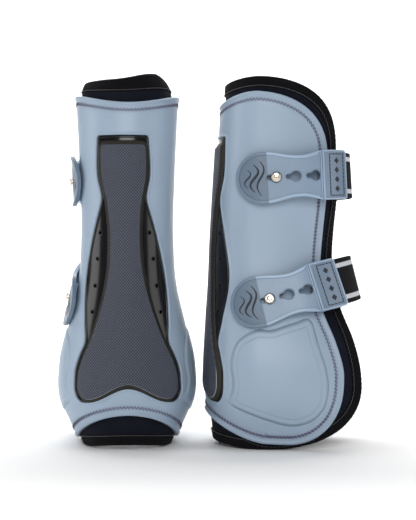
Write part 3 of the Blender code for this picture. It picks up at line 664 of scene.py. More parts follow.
# Signed distance to a closed outline in the plane, positive inside
def insideDistance(points, outline):
    start = np.asarray(outline, float)
    way = np.roll(start, -1, axis=0) - start
    nearest = np.full(len(points), np.inf)
    turns = np.zeros(len(points), bool)
    for corner, step in zip(start, way):
        offset = points - corner
        share = np.clip(offset @ step / (step @ step), 0, 1)
        nearest = np.minimum(nearest, np.linalg.norm(offset - share[:, None] * step, axis=1))
        after = corner + step
        crosses = (corner[1] > points[:, 1]) != (after[1] > points[:, 1])
        rise = step[1] if abs(step[1]) > 1e-12 else 1e-12
        turns ^= crosses & (offset[:, 0] < step[0] * offset[:, 1] / rise)
    return np.where(turns, nearest, -nearest)


# Rounds a closed outline: each side gets points on a Catmull-Rom curve
def roundOutline(outline, steps):
    points = np.asarray(outline, float)
    before, after, later = [np.roll(points, turn, axis=0) for turn in (1, -1, -2)]
    t = np.linspace(0, 1, steps, endpoint=False)[None, :, None]
    a, b, c, d = before[:, None], points[:, None], after[:, None], later[:, None]
    curve = 0.5 * (2 * b + (c - a) * t + (2 * a - 5 * b + 4 * c - d) * t ** 2
                   + (3 * b - a - 3 * c + d) * t ** 3)
    return curve.reshape(-1, 2)


# The shell is a ring of loops between its outer edge and the window: each loop is a mix of
# the two outlines, and the offset adds the rolled lip, the window's bead and the panels
def makeShell(boot):
    insets, outsets = shell["insets"], shell["outsets"]
    across, up = squareLoop(shell["around"], shell["side"])
    outerAngle, outerHeight = sheetPlace(across, up, shellEdge, 0)
    innerAngle, innerHeight = bonePlace(across, up, windowOutline, 0, 0)
    loops = [insetLoop(outerAngle, outerHeight, e) for e in insets]
    fromEdge = list(insets)
    last = insetLoop(outerAngle, outerHeight, insets[-1])
    first = insetLoop(innerAngle, innerHeight, -outsets[0])
    for share in np.linspace(0, 1, shell["rows"])[1:-1]:
        loops.append([(1 - share) * last[k] + share * first[k] for k in (0, 1)])
        fromEdge.append(insets[-1] + share * 20 * mm)
    loops += [insetLoop(innerAngle, innerHeight, -e) for e in outsets]
    fromEdge += [40 * mm] * len(outsets)
    angle = np.array([loop[0] for loop in loops])
    height = np.array([loop[1] for loop in loops])
    fromEdge = np.array(fromEdge)
    offset = np.zeros(angle.shape)
    lip = np.sin(np.clip(fromEdge / shell["lipWidth"], 0, 1) * pi) ** shell["roundness"]
    dip = np.exp(-((fromEdge - edgeStitch["inset"]) / shell["dipWidth"]) ** 2)
    offset[:len(insets)] += (shell["lipHeight"] * lip - shell["dip"] * dip)[:len(insets), None]
    bead = np.sin(np.clip(outsets / shell["beadWidth"], 0, 1) * pi) ** shell["roundness"]
    offset[-len(outsets):] += shell["beadHeight"] * bead[:, None]
    flat = skin(angle, height, 0)
    outline = roundOutline(np.array(panelOutline) * mm, 6)
    inside = insideDistance(flat[..., 1:].reshape(-1, 2), outline).reshape(angle.shape)
    plateau = smoothStep(-shell["panelBevel"] / 2, shell["panelBevel"] / 2, inside)
    sideways = smoothStep(*shell["panelFrom"], np.abs(angle))
    offset += sideways * shell["panelRise"] * plateau
    under = shell["innerLoops"]
    inner = skin(angle[under], height[under], -body["shellWall"])
    points = np.concatenate([skin(angle, height, offset), inner])
    marks = np.stack([angle * section(height)[0], height * body["height"],
                      fromEdge[:, None] + 0 * angle], axis=-1)
    marks = np.concatenate([marks, marks[under]])
    panels = np.stack([inside, sideways, 0 * inside], axis=-1)
    panels = np.concatenate([panels, 0 * panels[under]])
    faces = gridFaces(len(points), angle.shape[1], True, True)
    mesh = putMesh(boot["name"] + "Shell", toWorld(points, boot), faces,
                   {"place": marks, "panel": panels})
    putObject(boot["name"] + "Shell", mesh, materials["shell"], boot["name"] + "_boot",
              [boot["name"] + "_shell"])


# Zigzag thread round the shell's edge: e = e0 + s tri(t), standing just off the skin
def makeEdgeStitch(boot):
    across, up = squareLoop(shell["around"], shell["side"])
    outer = sheetPlace(across, up, shellEdge, 0)
    length = evenLoop(*insetLoop(*outer, edgeStitch["inset"]), 100)[2]
    count = int(length / edgeStitch["pitch"]) * edgeStitch["points"]
    swings = []
    for swing in (-edgeStitch["swing"], edgeStitch["swing"]):
        swings.append(evenLoop(*insetLoop(*outer, edgeStitch["inset"] + swing), count)[:2])
    t = np.arange(count) / edgeStitch["points"]
    share = np.abs((t % 1) * 2 - 1)
    angle = swings[0][0] * share + swings[1][0] * (1 - share)
    height = swings[0][1] * share + swings[1][1] * (1 - share)
    stand = edgeStitch["stand"] + edgeStitch["arch"] * np.sin(share * pi)
    path = toWorld(skin(angle, height, stand), boot)
    normals = toWorld(skin(angle, height, stand + mm), boot) - path
    points, faces = sweep(path, normals, roundProfile(edgeStitch["thread"], 6), True)
    putObject(boot["name"] + "EdgeStitch", putMesh(boot["name"] + "EdgeStitch", points, faces),
              materials["thread"], boot["name"] + "_boot")


# Soft rim: where it begins to lean, how far it leans on its outer and inner side, and its swells
rim = {"start": 0.240, "reach": 0.020, "outerLean": 5 * mm, "innerLean": 8 * mm, "rise": 6.5 * mm,
       "riseAt": -0.34, "riseWidth": 0.55, "outerDrop": 1.5 * mm, "innerDrop": 4 * mm}
liner = {"columns": 200, "rows": 150, "ripple": 0.25 * mm, "drawn": 0.05 * mm}
tape = {"width": 7 * mm, "thickness": 0.9 * mm, "gap": 0.3 * mm, "rows": 10, "turns": 13,
        "points": 560, "leastFold": 2.5 * mm, "pucker": 0.16 * mm, "tuck": 0.2 * mm}
tapeStitch = {"inset": 5.9 * mm, "pitch": 3.1 * mm, "thread": 0.26 * mm, "dive": 0.30 * mm,
              "points": 8}


# The soft rim above the shell leans in and swells: x moves towards the middle and z rises by
# a bell round one side and falls at both ends, all growing with t^2 above the shell
def sway(places, boot):
    t = np.clip((places[..., 2] - rim["start"]) / rim["reach"], 0, 1.2) ** 2 * boot["sway"]
    across = places[..., 0] / body["halfWidth"]
    lean = np.where(across > 0, rim["outerLean"], rim["innerLean"]) * np.clip(2 * across, -1, 1)
    swell = rim["rise"] * np.exp(-((across - rim["riseAt"]) / rim["riseWidth"]) ** 2)
    swell -= rim["outerDrop"] * smoothStep(0.3, 0.8, across)
    swell -= rim["innerDrop"] * smoothStep(0.55, 0.8, -across)
    moved = places.copy()
    moved[..., 0] -= t * lean
    moved[..., 2] += t * swell
    return moved


# Numbers of the points round the border of an n by m grid
def gridBorder(n, m):
    return np.concatenate([np.arange(m), np.arange(1, n) * m + m - 1,
                           (n - 1) * m + np.arange(m - 2, -1, -1), np.arange(n - 2, 0, -1) * m])


# Faces of two n by m grids, one behind the other, joined round their border
def plateFaces(n, m):
    border = gridBorder(n, m)
    after = np.roll(border, -1)
    return [gridFaces(n, m), gridFaces(n, m, start=n * m)[:, ::-1],
            np.stack([border, after, after + n * m, border + n * m], axis=1)]


# Liner: two faces of a sheet, with slow ripples w = r sin(7a) sin(20h) on its inner face
def makeLiner(boot):
    outer = -body["shellWall"] - body["linerGap"]
    a, b = np.meshgrid(crowd(np.linspace(-1, 1, liner["columns"])), np.linspace(0, 1, liner["rows"]),
                       indexing="ij")
    angle, height = sheetPlace(a, b, linerEdge, outer)
    ripple = liner["ripple"] * np.sin(7 * angle) * np.sin(20 * height)
    front = sway(skin(angle, height, outer - liner["drawn"]), boot)
    back = sway(skin(angle, height, outer - body["linerWall"] + ripple), boot)
    for face in (front, back):
        face[..., 2] = np.maximum(face[..., 2], tape["thickness"] + tape["gap"])
    marks = np.stack([angle * section(height)[0], height * body["height"], 0 * angle], axis=-1)
    points = toWorld(np.concatenate([front.reshape(-1, 3), back.reshape(-1, 3)]), boot)
    mesh = putMesh(boot["name"] + "Liner", points, plateFaces(*angle.shape),
                   {"place": np.concatenate([marks.reshape(-1, 3)] * 2)})
    putObject(boot["name"] + "Liner", mesh, materials["liner"], boot["name"] + "_boot",
              [boot["name"] + "_liner"])


# Angle and height all the way round the liner's edge
def linerLoop():
    across, up = squareLoop(260, 150)
    outer = -body["shellWall"] - body["linerGap"]
    return sheetPlace(across, up, linerEdge, outer)


# How far the tape's outer fold reaches: it stops short of the shell's lower edge
def foldRoom(angle, height):
    front = angleAtDepth(body["depth"] * shellEdge["front"][0][1], shellEdge["frontBottom"], 0)
    across = np.abs(angle) / front
    low = edgeHeights(np.clip(across, 0, 1), shellEdge)[1]
    room = body["height"] * (low - height) - tape["thickness"]
    below = (height < low) & (across < 1)
    return np.where(below, np.clip(room, tape["leastFold"], tape["width"]), tape["width"])


# Tape folded round the liner's edge: a U with round shoulders carried round the loop; the
# row offsets rise as min(1, 4 t - 0.08) from the flat border
def makeTape(boot):
    outer = -body["shellWall"] - body["linerGap"]
    inner = outer - body["linerWall"]
    angle, height, length = evenLoop(*linerLoop(), tape["points"])
    fold = foldRoom(angle, height)
    middle = (outer + inner) / 2
    reach = (outer - inner) / 2 + tape["thickness"]
    shares = np.linspace(1, 0, tape["rows"])
    rise = tape["thickness"] * np.minimum(1, 4 * (1 - shares) - 0.08)
    rows = [(fold * share, outer + up) for share, up in zip(shares[:-1], rise[:-1])]
    rows += [(-(tape["thickness"] + tape["gap"]) * sin(step), middle + reach * cos(step))
             for step in np.linspace(0, pi, tape["turns"])]
    rows += [(tape["width"] * share, inner - up)
             for share, up in zip(shares[::-1][1:], rise[::-1][1:])]
    rows += [(tape["width"], inner + tape["tuck"]), (fold, outer - tape["tuck"])]
    loops = []
    marks = []
    along = np.linspace(0, length, len(angle), endpoint=False)
    pucker = tape["pucker"] * np.sin(along * 2 * pi / tapeStitch["pitch"])
    for number, (inset, offset) in enumerate(rows):
        place = sway(skin(*insetLoop(angle, height, inset), offset + pucker), boot)
        place[:, 2] = np.maximum(place[:, 2], 0)
        loops.append(place)
        marks.append(np.stack([along, 0 * along + number * mm, 0 * along], axis=-1))
    mesh = putMesh(boot["name"] + "Tape", toWorld(np.array(loops), boot),
                   gridFaces(len(rows), len(angle), True, True), {"place": np.array(marks)})
    putObject(boot["name"] + "Tape", mesh, materials["tape"], boot["name"] + "_boot",
              [boot["name"] + "_liner_binding"])


# Running stitch near the tape's inner border: the thread dives, d = d0 + r cos(2 pi x / p)
def makeTapeStitch(boot):
    outer = -body["shellWall"] - body["linerGap"]
    angle, height = linerLoop()
    faces = [(foldRoom(angle, height), outer + tape["thickness"], 1),
             (tape["width"] + 0 * angle, outer - body["linerWall"] - tape["thickness"], -1)]
    shapes = []
    for fold, offset, sign in faces:
        loop = insetLoop(angle, height, fold - (tape["width"] - tapeStitch["inset"]))
        count = int(evenLoop(*loop, 100)[2] / tapeStitch["pitch"]) * tapeStitch["points"]
        loopAngle, loopHeight = evenLoop(*loop, count)[:2]
        t = np.arange(count) / tapeStitch["points"]
        dive = sign * tapeStitch["dive"] * np.cos(2 * pi * t)
        path = toWorld(sway(skin(loopAngle, loopHeight, offset + dive), boot), boot)
        above = skin(loopAngle, loopHeight, offset + dive + sign * mm)
        normals = toWorld(sway(above, boot), boot) - path
        path[:, 2] = np.maximum(path[:, 2], 0.3 * mm)
        shapes.append(sweep(path, normals, roundProfile(tapeStitch["thread"], 5), True))
    points, faces = joinShapes(shapes)
    putObject(boot["name"] + "TapeStitch", putMesh(boot["name"] + "TapeStitch", points, faces),
              materials["darkThread"], boot["name"] + "_boot")


base = {"recess": 0.4 * mm, "gap": 0.35 * mm, "bead": 0.8 * mm, "columns": 90, "rows": 150}
vent = {"radius": 1.05 * mm, "rim": 0.45 * mm, "sides": 20, "depth": 8 * mm,
        "places": [(0.580, 0.358), (0.510, 0.408), (0.438, 0.450), (0.368, 0.498)]}


# Turned ring or cup: a profile of (radius, height) round an axis
def turnedShape(profile, place, axis, steps):
    profile = np.asarray(profile, float)
    axis = np.asarray(axis, float) / np.linalg.norm(axis)
    helper = np.array([0, 0, 1.0]) if abs(axis[2]) < 0.9 else np.array([1.0, 0, 0])
    first = np.cross(axis, helper)
    first /= np.linalg.norm(first)
    second = np.cross(axis, first)
    t = np.linspace(0, 2 * pi, steps, endpoint=False)
    ring = np.cos(t)[:, None] * first + np.sin(t)[:, None] * second
    points = place + ring[:, None] * profile[None, :, :1] + axis * profile[None, :, 1:]
    return points.reshape(-1, 3), [gridFaces(steps, len(profile), True, False)]


# Cuts a set of round bars out of a piece and leaves the result in its mesh
def cutBars(item, bars, radius):
    bm = bmesh.new()
    for place, axis in bars:
        made = bmesh.ops.create_cone(bm, cap_ends=True, segments=vent["sides"], radius1=radius,
                                     radius2=radius, depth=vent["depth"])["verts"]
        turnTo = Vector((0, 0, 1)).rotation_difference(Vector(axis)).to_matrix()
        for vertex in made:
            vertex.co = turnTo @ vertex.co + Vector(place)
    mesh = bpy.data.meshes.new("ventDrills")
    bm.to_mesh(mesh)
    bm.free()
    drill = bpy.data.objects.new("ventDrills", mesh)
    bpy.context.scene.collection.objects.link(drill)
    cutter = item.modifiers.new("vents", "BOOLEAN")
    cutter.operation = "DIFFERENCE"
    cutter.solver = "EXACT"
    cutter.object = drill
    bpy.context.view_layer.update()
    graph = bpy.context.evaluated_depsgraph_get()
    cutMesh = bpy.data.meshes.new_from_object(item.evaluated_get(graph))
    item.modifiers.clear()
    item.data = cutMesh
    bpy.data.objects.remove(drill, do_unlink=True)


# Base: a thin sheet in the window, a rounded bead along its edge and a rim round each vent
def makeBase(boot):
    bodyName = boot["name"] + "_boot"
    a, b = np.meshgrid(crowd(np.linspace(-1, 1, base["columns"])), np.linspace(0, 1, base["rows"]),
                       indexing="ij")
    angle, height = bonePlace(a, b, windowOutline, base["gap"], 0)
    front = toWorld(skin(angle, height, -base["recess"]), boot).reshape(-1, 3)
    back = toWorld(skin(angle, height, -body["shellWall"]), boot).reshape(-1, 3)
    mesh = putMesh(boot["name"] + "Base", np.concatenate([front, back]), plateFaces(*angle.shape))
    item = putObject(boot["name"] + "Base", mesh, materials["base"], bodyName,
                     [boot["name"] + "_strike_base"])
    radius, edge = vent["radius"], vent["rim"]
    profile = [(radius, -1.5 * mm), (radius, 0.1 * mm), (radius + 0.3 * edge, 0.35 * mm),
               (radius + 0.8 * edge, 0.35 * mm), (radius + 1.4 * edge, 0.0),
               (radius + 1.5 * edge, -0.3 * mm)]
    rims = []
    bars = []
    for hand in (-1, 1):
        for share, distance in vent["places"]:
            middle = hand * distance * body["halfWidth"] + boneMiddle(share)
            turn = np.array(asin(middle / section(share)[0]))
            place = toWorld(skin(turn, share, -base["recess"]), boot)
            axis = toWorld(skin(turn, share, mm), boot) - toWorld(skin(turn, share, 0), boot)
            rims.append(turnedShape(profile, place, axis, vent["sides"]))
            bars.append((place, axis))
    cutBars(item, bars, radius)
    points, faces = joinShapes(rims)
    putObject(boot["name"] + "VentRims", putMesh(boot["name"] + "VentRims", points, faces),
              materials["base"], bodyName)
    loop = bonePlace(*squareLoop(120, 90), windowOutline, base["gap"], 0)
    inset = insetLoop(*loop, base["bead"])
    path = toWorld(skin(*inset, -base["recess"] - 0.1 * mm), boot)
    normals = toWorld(skin(*inset, mm), boot) - toWorld(skin(*inset, 0), boot)
    points, faces = sweep(path, normals, roundProfile(base["bead"], 10), True)
    putObject(boot["name"] + "BaseBead", putMesh(boot["name"] + "BaseBead", points, faces),
              materials["base"], bodyName)


pad = {"rise": 2.3 * mm, "foot": -0.05 * mm, "round": 0.5 * mm, "flare": 3.0 * mm,
       "room": 0.7 * mm, "columns": 100, "rows": 220}


# Pad: a top grid, a rounded shoulder marked up to 0.5 and flared walls marked 1
def makePad(boot):
    rise, corner, flare = pad["rise"], pad["round"], pad["flare"]
    a, b = np.meshgrid(crowd(np.linspace(-1, 1, pad["columns"])),
                       crowd(np.linspace(-1, 1, pad["rows"])) / 2 + 0.5, indexing="ij")
    angle, height = bonePlace(a, b, padOutline, corner, rise)
    n, m = angle.shape
    ring = np.concatenate([np.arange(n) * m, (n - 1) * m + np.arange(1, m),
                           np.arange(n - 2, -1, -1) * m + m - 1, np.arange(m - 2, 0, -1)])
    loop = angle.ravel()[ring], height.ravel()[ring]
    steps = [(corner * sin(t), rise - corner * (1 - cos(t)), t / pi)
             for t in np.linspace(0, pi / 2, 5)[1:]]
    steps += [(corner + 0.15 * mm, rise - corner - 0.1 * mm, 1.0),
              (corner + 0.6 * flare, 0.35 * rise, 1.0), (corner + flare, pad["foot"], 1.0),
              (corner + flare, pad["foot"] - 0.3 * mm, 1.0)]
    points = [skin(angle, height, rise).reshape(-1, 3)]
    marks = [np.stack([angle * section(height)[0], height * body["height"], 0 * angle],
                      axis=-1).reshape(-1, 3)]
    faces = [gridFaces(n, m)]
    start = n * m
    windowHeights, windowWidths = np.array(windowOutline["width"]).T
    for outset, offset, wall in steps:
        ringAngle, ringHeight = insetLoop(*loop, -outset)
        room = body["halfWidth"] * smoothCurve(ringHeight, windowHeights, windowWidths)
        room = room - pad["room"]
        half, lean = section(ringHeight)[0], boneMiddle(ringHeight)
        limits = [np.arcsin((lean + sign * room) / half) for sign in (-1, 1)]
        ringAngle = np.clip(ringAngle, *limits)
        points.append(skin(ringAngle, ringHeight, offset))
        marks.append(np.stack([ringAngle * half, ringHeight * body["height"], wall + 0 * ringAngle],
                              axis=-1))
        newRing = start + np.arange(len(ring))
        faces.append(np.stack([ring, newRing, np.roll(newRing, -1), np.roll(ring, -1)], axis=1))
        ring = newRing
        start += len(ring)
    mesh = putMesh(boot["name"] + "Pad", toWorld(np.concatenate(points), boot), faces,
                   {"place": np.concatenate(marks)})
    putObject(boot["name"] + "Pad", mesh, materials["pad"], boot["name"] + "_boot",
              [boot["name"] + "_strike_pad"])


straps = {
    "upper": {"name": "upper", "height": 0.726, "depth": 0.095, "rise": radians(3.3),
              "lean": radians(-2.3), "stand": 1.05 * mm, "sewnStand": 1.5 * mm, "front": 0.580,
              "bend": 0.180},
    "lower": {"name": "lower", "height": 0.402, "depth": 0.056, "rise": radians(14),
              "lean": radians(11.7), "stand": 0.45 * mm, "sewnStand": 3.0 * mm, "front": 0.610,
              "bend": 0.150},
}
elastic = {"width": 32 * mm, "thickness": 1.8 * mm, "sewnDepth": 0.27, "fit": 0.35 * mm,
           "ribPitch": 1.8 * mm, "ribDepth": 0.07}
tab = {
    "thickness": 3 * mm, "endRadius": 17.9 * mm, "endCentre": -9 * mm, "curlStart": -8 * mm,
    "waist": 16.6 * mm, "waistHalf": 14.1 * mm, "groove": 31 * mm, "plateStart": 34 * mm,
    "plateEnd": 51 * mm, "plateHalf": 17.2 * mm, "plateCorner": 2.5 * mm, "rim": 2.3 * mm,
    "plateRim": 1.4 * mm, "web": 1.9 * mm, "spacing": 0.7 * mm, "lineSteps": 60,
}
keyhole = {"radius": 3.6 * mm, "slotHalf": 1.8 * mm, "slotLength": 4.7 * mm, "pitch": 13.3 * mm,
           "count": 3, "rim": 0.7 * mm}
# Waves on the flap in millimetres: middle along the strap, swing, reach across and boldness
waves = [(-10.6, 2.4, 12.0, 0.75), (-14.6, 2.8, 9.5, 0.95), (-19.0, 2.2, 6.5, 0.6)]
motif = {"halfLong": 5.6 * mm, "halfWide": 14.3 * mm, "thread": 0.36 * mm, "pitch": 2.6 * mm,
         "steps": (-1.5, -0.5, 0.5, 1.5), "spacing": 6.5 * mm, "size": 2.0 * mm}
stud = {"headRadius": 3.35 * mm, "headHeight": 1.7 * mm, "clearance": 0.4 * mm, "neck": 1.6 * mm,
        "collar": 4.5 * mm, "collarHeight": 0.6 * mm, "seat": 0.9 * mm, "sides": 48}


# Middle line of the elastic in the strap's plane: an arc at the tab's tip, straight past the
# stud, an ellipse quarter to the front and part of another back to the sewn end; returns
# distance, x, y and the outward normal
def strapLine(strap, boot):
    half, back, front, centre = section(strap["height"])
    depth, radius = body["depth"], boot["curl"][strap["name"]]
    begin, steps = tab["curlStart"], tab["lineSteps"]
    studY = strap["depth"] * depth
    outerX = half + strap["stand"] + elastic["thickness"] / 2
    innerX = half + strap["sewnStand"] + elastic["thickness"] / 2
    bendY = strap["bend"] * depth - studY
    frontY = (strap["front"] * depth - studY) / cos(strap["rise"]) - elastic["thickness"] / 2
    innerY = centre - studY
    sewnY = elastic["sewnDepth"] * depth - studY
    start = tab["endCentre"] - tab["endRadius"] - 2 * mm
    curl = (begin - np.linspace(start, begin, steps)[:-1]) / radius
    straight = np.linspace(begin, bendY, steps)[:-1]
    outerTurn = np.linspace(0, pi / 2, steps)
    innerTurn = np.linspace(0, acos((sewnY - innerY) / (frontY - innerY)), steps)[1:]
    x = np.concatenate([outerX - radius * (1 - np.cos(curl)), outerX + 0 * straight,
                        outerX * np.cos(outerTurn), -innerX * np.sin(innerTurn)])
    y = np.concatenate([begin - radius * np.sin(curl), straight,
                        bendY + (frontY - bendY) * np.sin(outerTurn),
                        innerY + (frontY - innerY) * np.cos(innerTurn)])
    distance = np.concatenate([[0], np.cumsum(np.hypot(np.diff(x), np.diff(y)))]) + start
    dx, dy = np.gradient(x, distance), np.gradient(y, distance)
    size = np.hypot(dx, dy)
    return distance, x, y, dy / size, -dx / size


# Boot place of (along, across, out) on a strap: the band leans with the boot's flare at the
# sides, l = l0 (1 + clip(s / s0, 0, 1) (nx^2 - 1)), and its plane rises by a turn about X
def strapPoint(strap, boot, along, across, out):
    distance, x, y, nx, ny = strapLine(strap, boot)
    normalX = np.interp(along, distance, nx)
    lean = strap["lean"] * (1 + np.clip(along / tab["waist"], 0, 1) * (normalX ** 2 - 1))
    away = out * np.cos(lean) - across * np.sin(lean)
    up = across * np.cos(lean) + out * np.sin(lean)
    px = np.interp(along, distance, x) + normalX * away
    py = np.interp(along, distance, y) + np.interp(along, distance, ny) * away
    c, s = cos(strap["rise"]), sin(strap["rise"])
    return np.stack([px, strap["depth"] * body["depth"] + c * py - s * up,
                     strap["height"] * body["height"] + s * py + c * up], axis=-1)


tabOut = elastic["thickness"] / 2 + elastic["fit"] + tab["thickness"] / 2


# Half width of the tab: a circle's end, then cosine steps to the waist and to the plate
def tabHalf(along):
    if along <= tab["endCentre"]:
        return sqrt(max(tab["endRadius"] ** 2 - (along - tab["endCentre"]) ** 2, 0))
    if along <= tab["waist"]:
        t = (along - tab["endCentre"]) / (tab["waist"] - tab["endCentre"])
        return tab["waistHalf"] + (tab["endRadius"] - tab["waistHalf"]) * (0.5 + 0.5 * cos(pi * t))
    t = min((along - tab["waist"]) / (tab["plateStart"] - tab["waist"]), 1)
    return tab["waistHalf"] + (tab["plateHalf"] - tab["waistHalf"]) * (0.5 - 0.5 * cos(pi * t))


# Flap: the tip's arc, then both sides down to the groove
def flapOutline():
    tip = [tab["endCentre"] - tab["endRadius"] * cos(t) for t in np.linspace(0, pi / 2, 24)]
    end = tab["groove"] - elastic["fit"] / 2
    rest = list(np.linspace(tab["endCentre"], end, 36)[1:])
    upper = [(s, tabHalf(s)) for s in tip[1:] + rest]
    return np.array([(tip[0], 0)] + upper + [(s, -h) for s, h in reversed(upper)])


# Plate: a rectangle with its two outer corners rounded
def plateOutline():
    start = tab["groove"] + elastic["fit"] / 2
    half, end, radius = tab["plateHalf"], tab["plateEnd"], tab["plateCorner"]
    upper = [(s, tabHalf(s)) for s in np.linspace(start, end - radius, 14)]
    upper += [(end - radius + radius * sin(t), half - radius + radius * cos(t))
              for t in np.linspace(0, pi / 2, 7)[1:]]
    return np.array(upper + [(s, -h) for s, h in reversed(upper)])


# Keyhole: a circle, open at its mouth to a slot with a round end
def keyholeOutline(centre):
    radius, slot = keyhole["radius"], keyhole["slotHalf"]
    mouth = asin(slot / radius)
    points = [(centre - radius * cos(t), radius * sin(t))
              for t in np.linspace(mouth, 2 * pi - mouth, 34)]
    end = centre - keyhole["slotLength"]
    points += [(end - slot * sin(t), -slot * cos(t)) for t in np.linspace(0, pi, 14)]
    return np.array(points)


# Evenly spaced points on a closed flat outline
def resample(outline, spacing):
    closed = np.vstack([outline, outline[:1]])
    steps = np.linalg.norm(np.diff(closed, axis=0), axis=1)
    length = np.concatenate([[0], np.cumsum(steps)])
    wanted = np.linspace(0, length[-1], int(length[-1] / spacing), endpoint=False)
    return np.stack([np.interp(wanted, length, closed[:, k]) for k in (0, 1)], axis=1)


# Moves a closed flat outline to its left by a distance
def shiftOutline(outline, distance):
    way = np.roll(outline, -1, axis=0) - np.roll(outline, 1, axis=0)
    way /= np.linalg.norm(way, axis=1, keepdims=True)
    return outline + distance * np.stack([-way[:, 1], way[:, 0]], axis=1)


# Profile of (left shift, out) points carried round a flat outline, in strap measures
def rimShape(outline, profile, narrow=None):
    loops = []
    for shift, out in profile:
        share = 1 if narrow is None else narrow[:, None]
        moved = shiftOutline(outline, shift * share)
        loops.append(np.stack([moved[:, 0], moved[:, 1], 0 * moved[:, 0] + out], axis=-1))
    flat = np.array(loops)
    return flat.reshape(-1, 3), [gridFaces(len(profile), len(outline), True, True)]


# Flat web between outlines with holes, cut into strips so that it can bend
def webShape(outlines, low, high):
    flat = bpy.data.curves.new("web", "CURVE")
    flat.dimensions = "2D"
    flat.fill_mode = "BOTH"
    flat.extrude = (high - low) / 2
    for outline in outlines:
        spline = flat.splines.new("POLY")
        spline.points.add(len(outline) - 1)
        spline.use_cyclic_u = True
        for point, (x, y) in zip(spline.points, outline):
            point.co = (x, y, 0, 1)
    holder = bpy.data.objects.new("web", flat)
    bpy.context.scene.collection.objects.link(holder)
    bpy.context.view_layer.update()
    graph = bpy.context.evaluated_depsgraph_get()
    made = bpy.data.meshes.new_from_object(holder.evaluated_get(graph))
    bpy.data.objects.remove(holder, do_unlink=True)
    bm = bmesh.new()
    bm.from_mesh(made)
    bmesh.ops.remove_doubles(bm, verts=bm.verts, dist=0.000001)
    for s in np.arange(-26 * mm, tab["plateEnd"], 1.5 * mm):
        everything = list(bm.verts) + list(bm.edges) + list(bm.faces)
        bmesh.ops.bisect_plane(bm, geom=everything, plane_co=(s, 0, 0), plane_no=(1, 0, 0))
    bmesh.ops.triangulate(bm, faces=bm.faces)
    bmesh.ops.recalc_face_normals(bm, faces=bm.faces)
    points = np.array([vertex.co for vertex in bm.verts])
    points[:, 2] += (low + high) / 2
    faces = np.array([[vertex.index for vertex in face.verts] for face in bm.faces])
    bm.free()
    return points, [faces]


# Builds a strap piece from shapes in (along, across, out) measures
def strapPiece(name, shapes, strap, boot, material, bodyName, nodes=(), sharp=True):
    flat, faces = joinShapes(shapes)
    world = toWorld(strapPoint(strap, boot, flat[:, 0], flat[:, 1], flat[:, 2]), boot)
    mesh = putMesh(name, world, faces, {"place": flat})
    if sharp:
        mesh.set_sharp_from_angle(angle=radians(38))
    return putObject(name, mesh, material, bodyName, nodes)


# Rounded bar: corners (0..w, low..high) with quarter circles of radius r
def barProfile(width, low, high, radius):
    t = np.linspace(0, pi / 2, 4)
    points = []
    for cx, cy, turn in ((width - radius, high - radius, 0), (radius, high - radius, pi / 2),
                         (radius, low + radius, pi), (width - radius, low + radius, 3 * pi / 2)):
        points += [(cx + radius * cos(turn + s), cy + radius * sin(turn + s)) for s in t]
    return points


# Thread along a flat path at a height, diving at each stitch
def threadShape(path, out, radius, pitch, closed):
    steps = np.linalg.norm(np.diff(np.vstack([path, path[:1]]) if closed else path, axis=0), axis=1)
    length = np.concatenate([[0], np.cumsum(steps)])
    count = int(length[-1] / pitch) * 8
    source = np.vstack([path, path[:1]]) if closed else path
    wanted = np.linspace(0, length[-1], count, endpoint=not closed)
    flat = np.stack([np.interp(wanted, length, source[:, k]) for k in (0, 1)], axis=1)
    dive = out + 0.32 * mm * np.cos(np.arange(count) * 2 * pi / 8)
    line = np.column_stack([flat, dive])
    normals = np.tile([0.0, 0.0, 1.0], (count, 1))
    return sweep(line, normals, roundProfile(radius, 6), closed)


# Line along the strap in flat measures, thinner towards its ends: w = 1 - 0.75 |t|^1.5
def waveShape(middle, swing, reach, bold, out):
    t = np.linspace(-1, 1, 70)
    line = np.column_stack([(middle + swing * np.sin(pi * t)) * mm, reach * t * mm, out + 0 * t])
    normals = np.tile([0.0, 0.0, 1.0], (len(t), 1))
    points, faces = sweep(line, normals, roundProfile(bold * mm, 8, 0.28), False)
    path = np.repeat(line, 8, axis=0)
    return path + (points - path) * np.repeat(1 - 0.75 * np.abs(t) ** 1.5, 8)[:, None], faces


# The tab: flap with rim, keyhole rims and plain waves
def makeTab(boot, level, strap):
    prefix = boot["name"] + level.capitalize()
    low, high = tabOut - tab["thickness"] / 2, tabOut + tab["thickness"] / 2
    webLow, webHigh = tabOut - tab["web"] / 2, tabOut + tab["web"] / 2 - 0.2 * mm
    bodyName = f"{boot['name']}_{level}_flap"
    outline = resample(flapOutline(), tab["spacing"])
    holes = [keyholeOutline(k * keyhole["pitch"]) for k in range(keyhole["count"])]
    narrow = 1 - 0.62 * smoothStep(26.5 * mm, 29.5 * mm, outline[:, 0])
    edge = [(-x, y) for x, y in barProfile(tab["rim"], low, high, 0.5 * mm)]
    shapes = [webShape([shiftOutline(outline, -0.5 * mm)] + holes, webLow, webHigh),
              rimShape(outline, edge, narrow)]
    ring = barProfile(keyhole["rim"], low, webHigh + 0.25 * mm, 0.3 * mm)
    shapes += [rimShape(hole, [(x - 0.05 * mm, y) for x, y in ring]) for hole in holes]
    strapPiece(prefix + "Flap", shapes, strap, boot, materials["tab"], bodyName,
               [f"{boot['name']}_{level}_tab"])
    shapes = [waveShape(*wave, webHigh + 0.02 * mm) for wave in waves]
    strapPiece(prefix + "Wave", shapes, strap, boot, materials["navy"], bodyName, sharp=False)


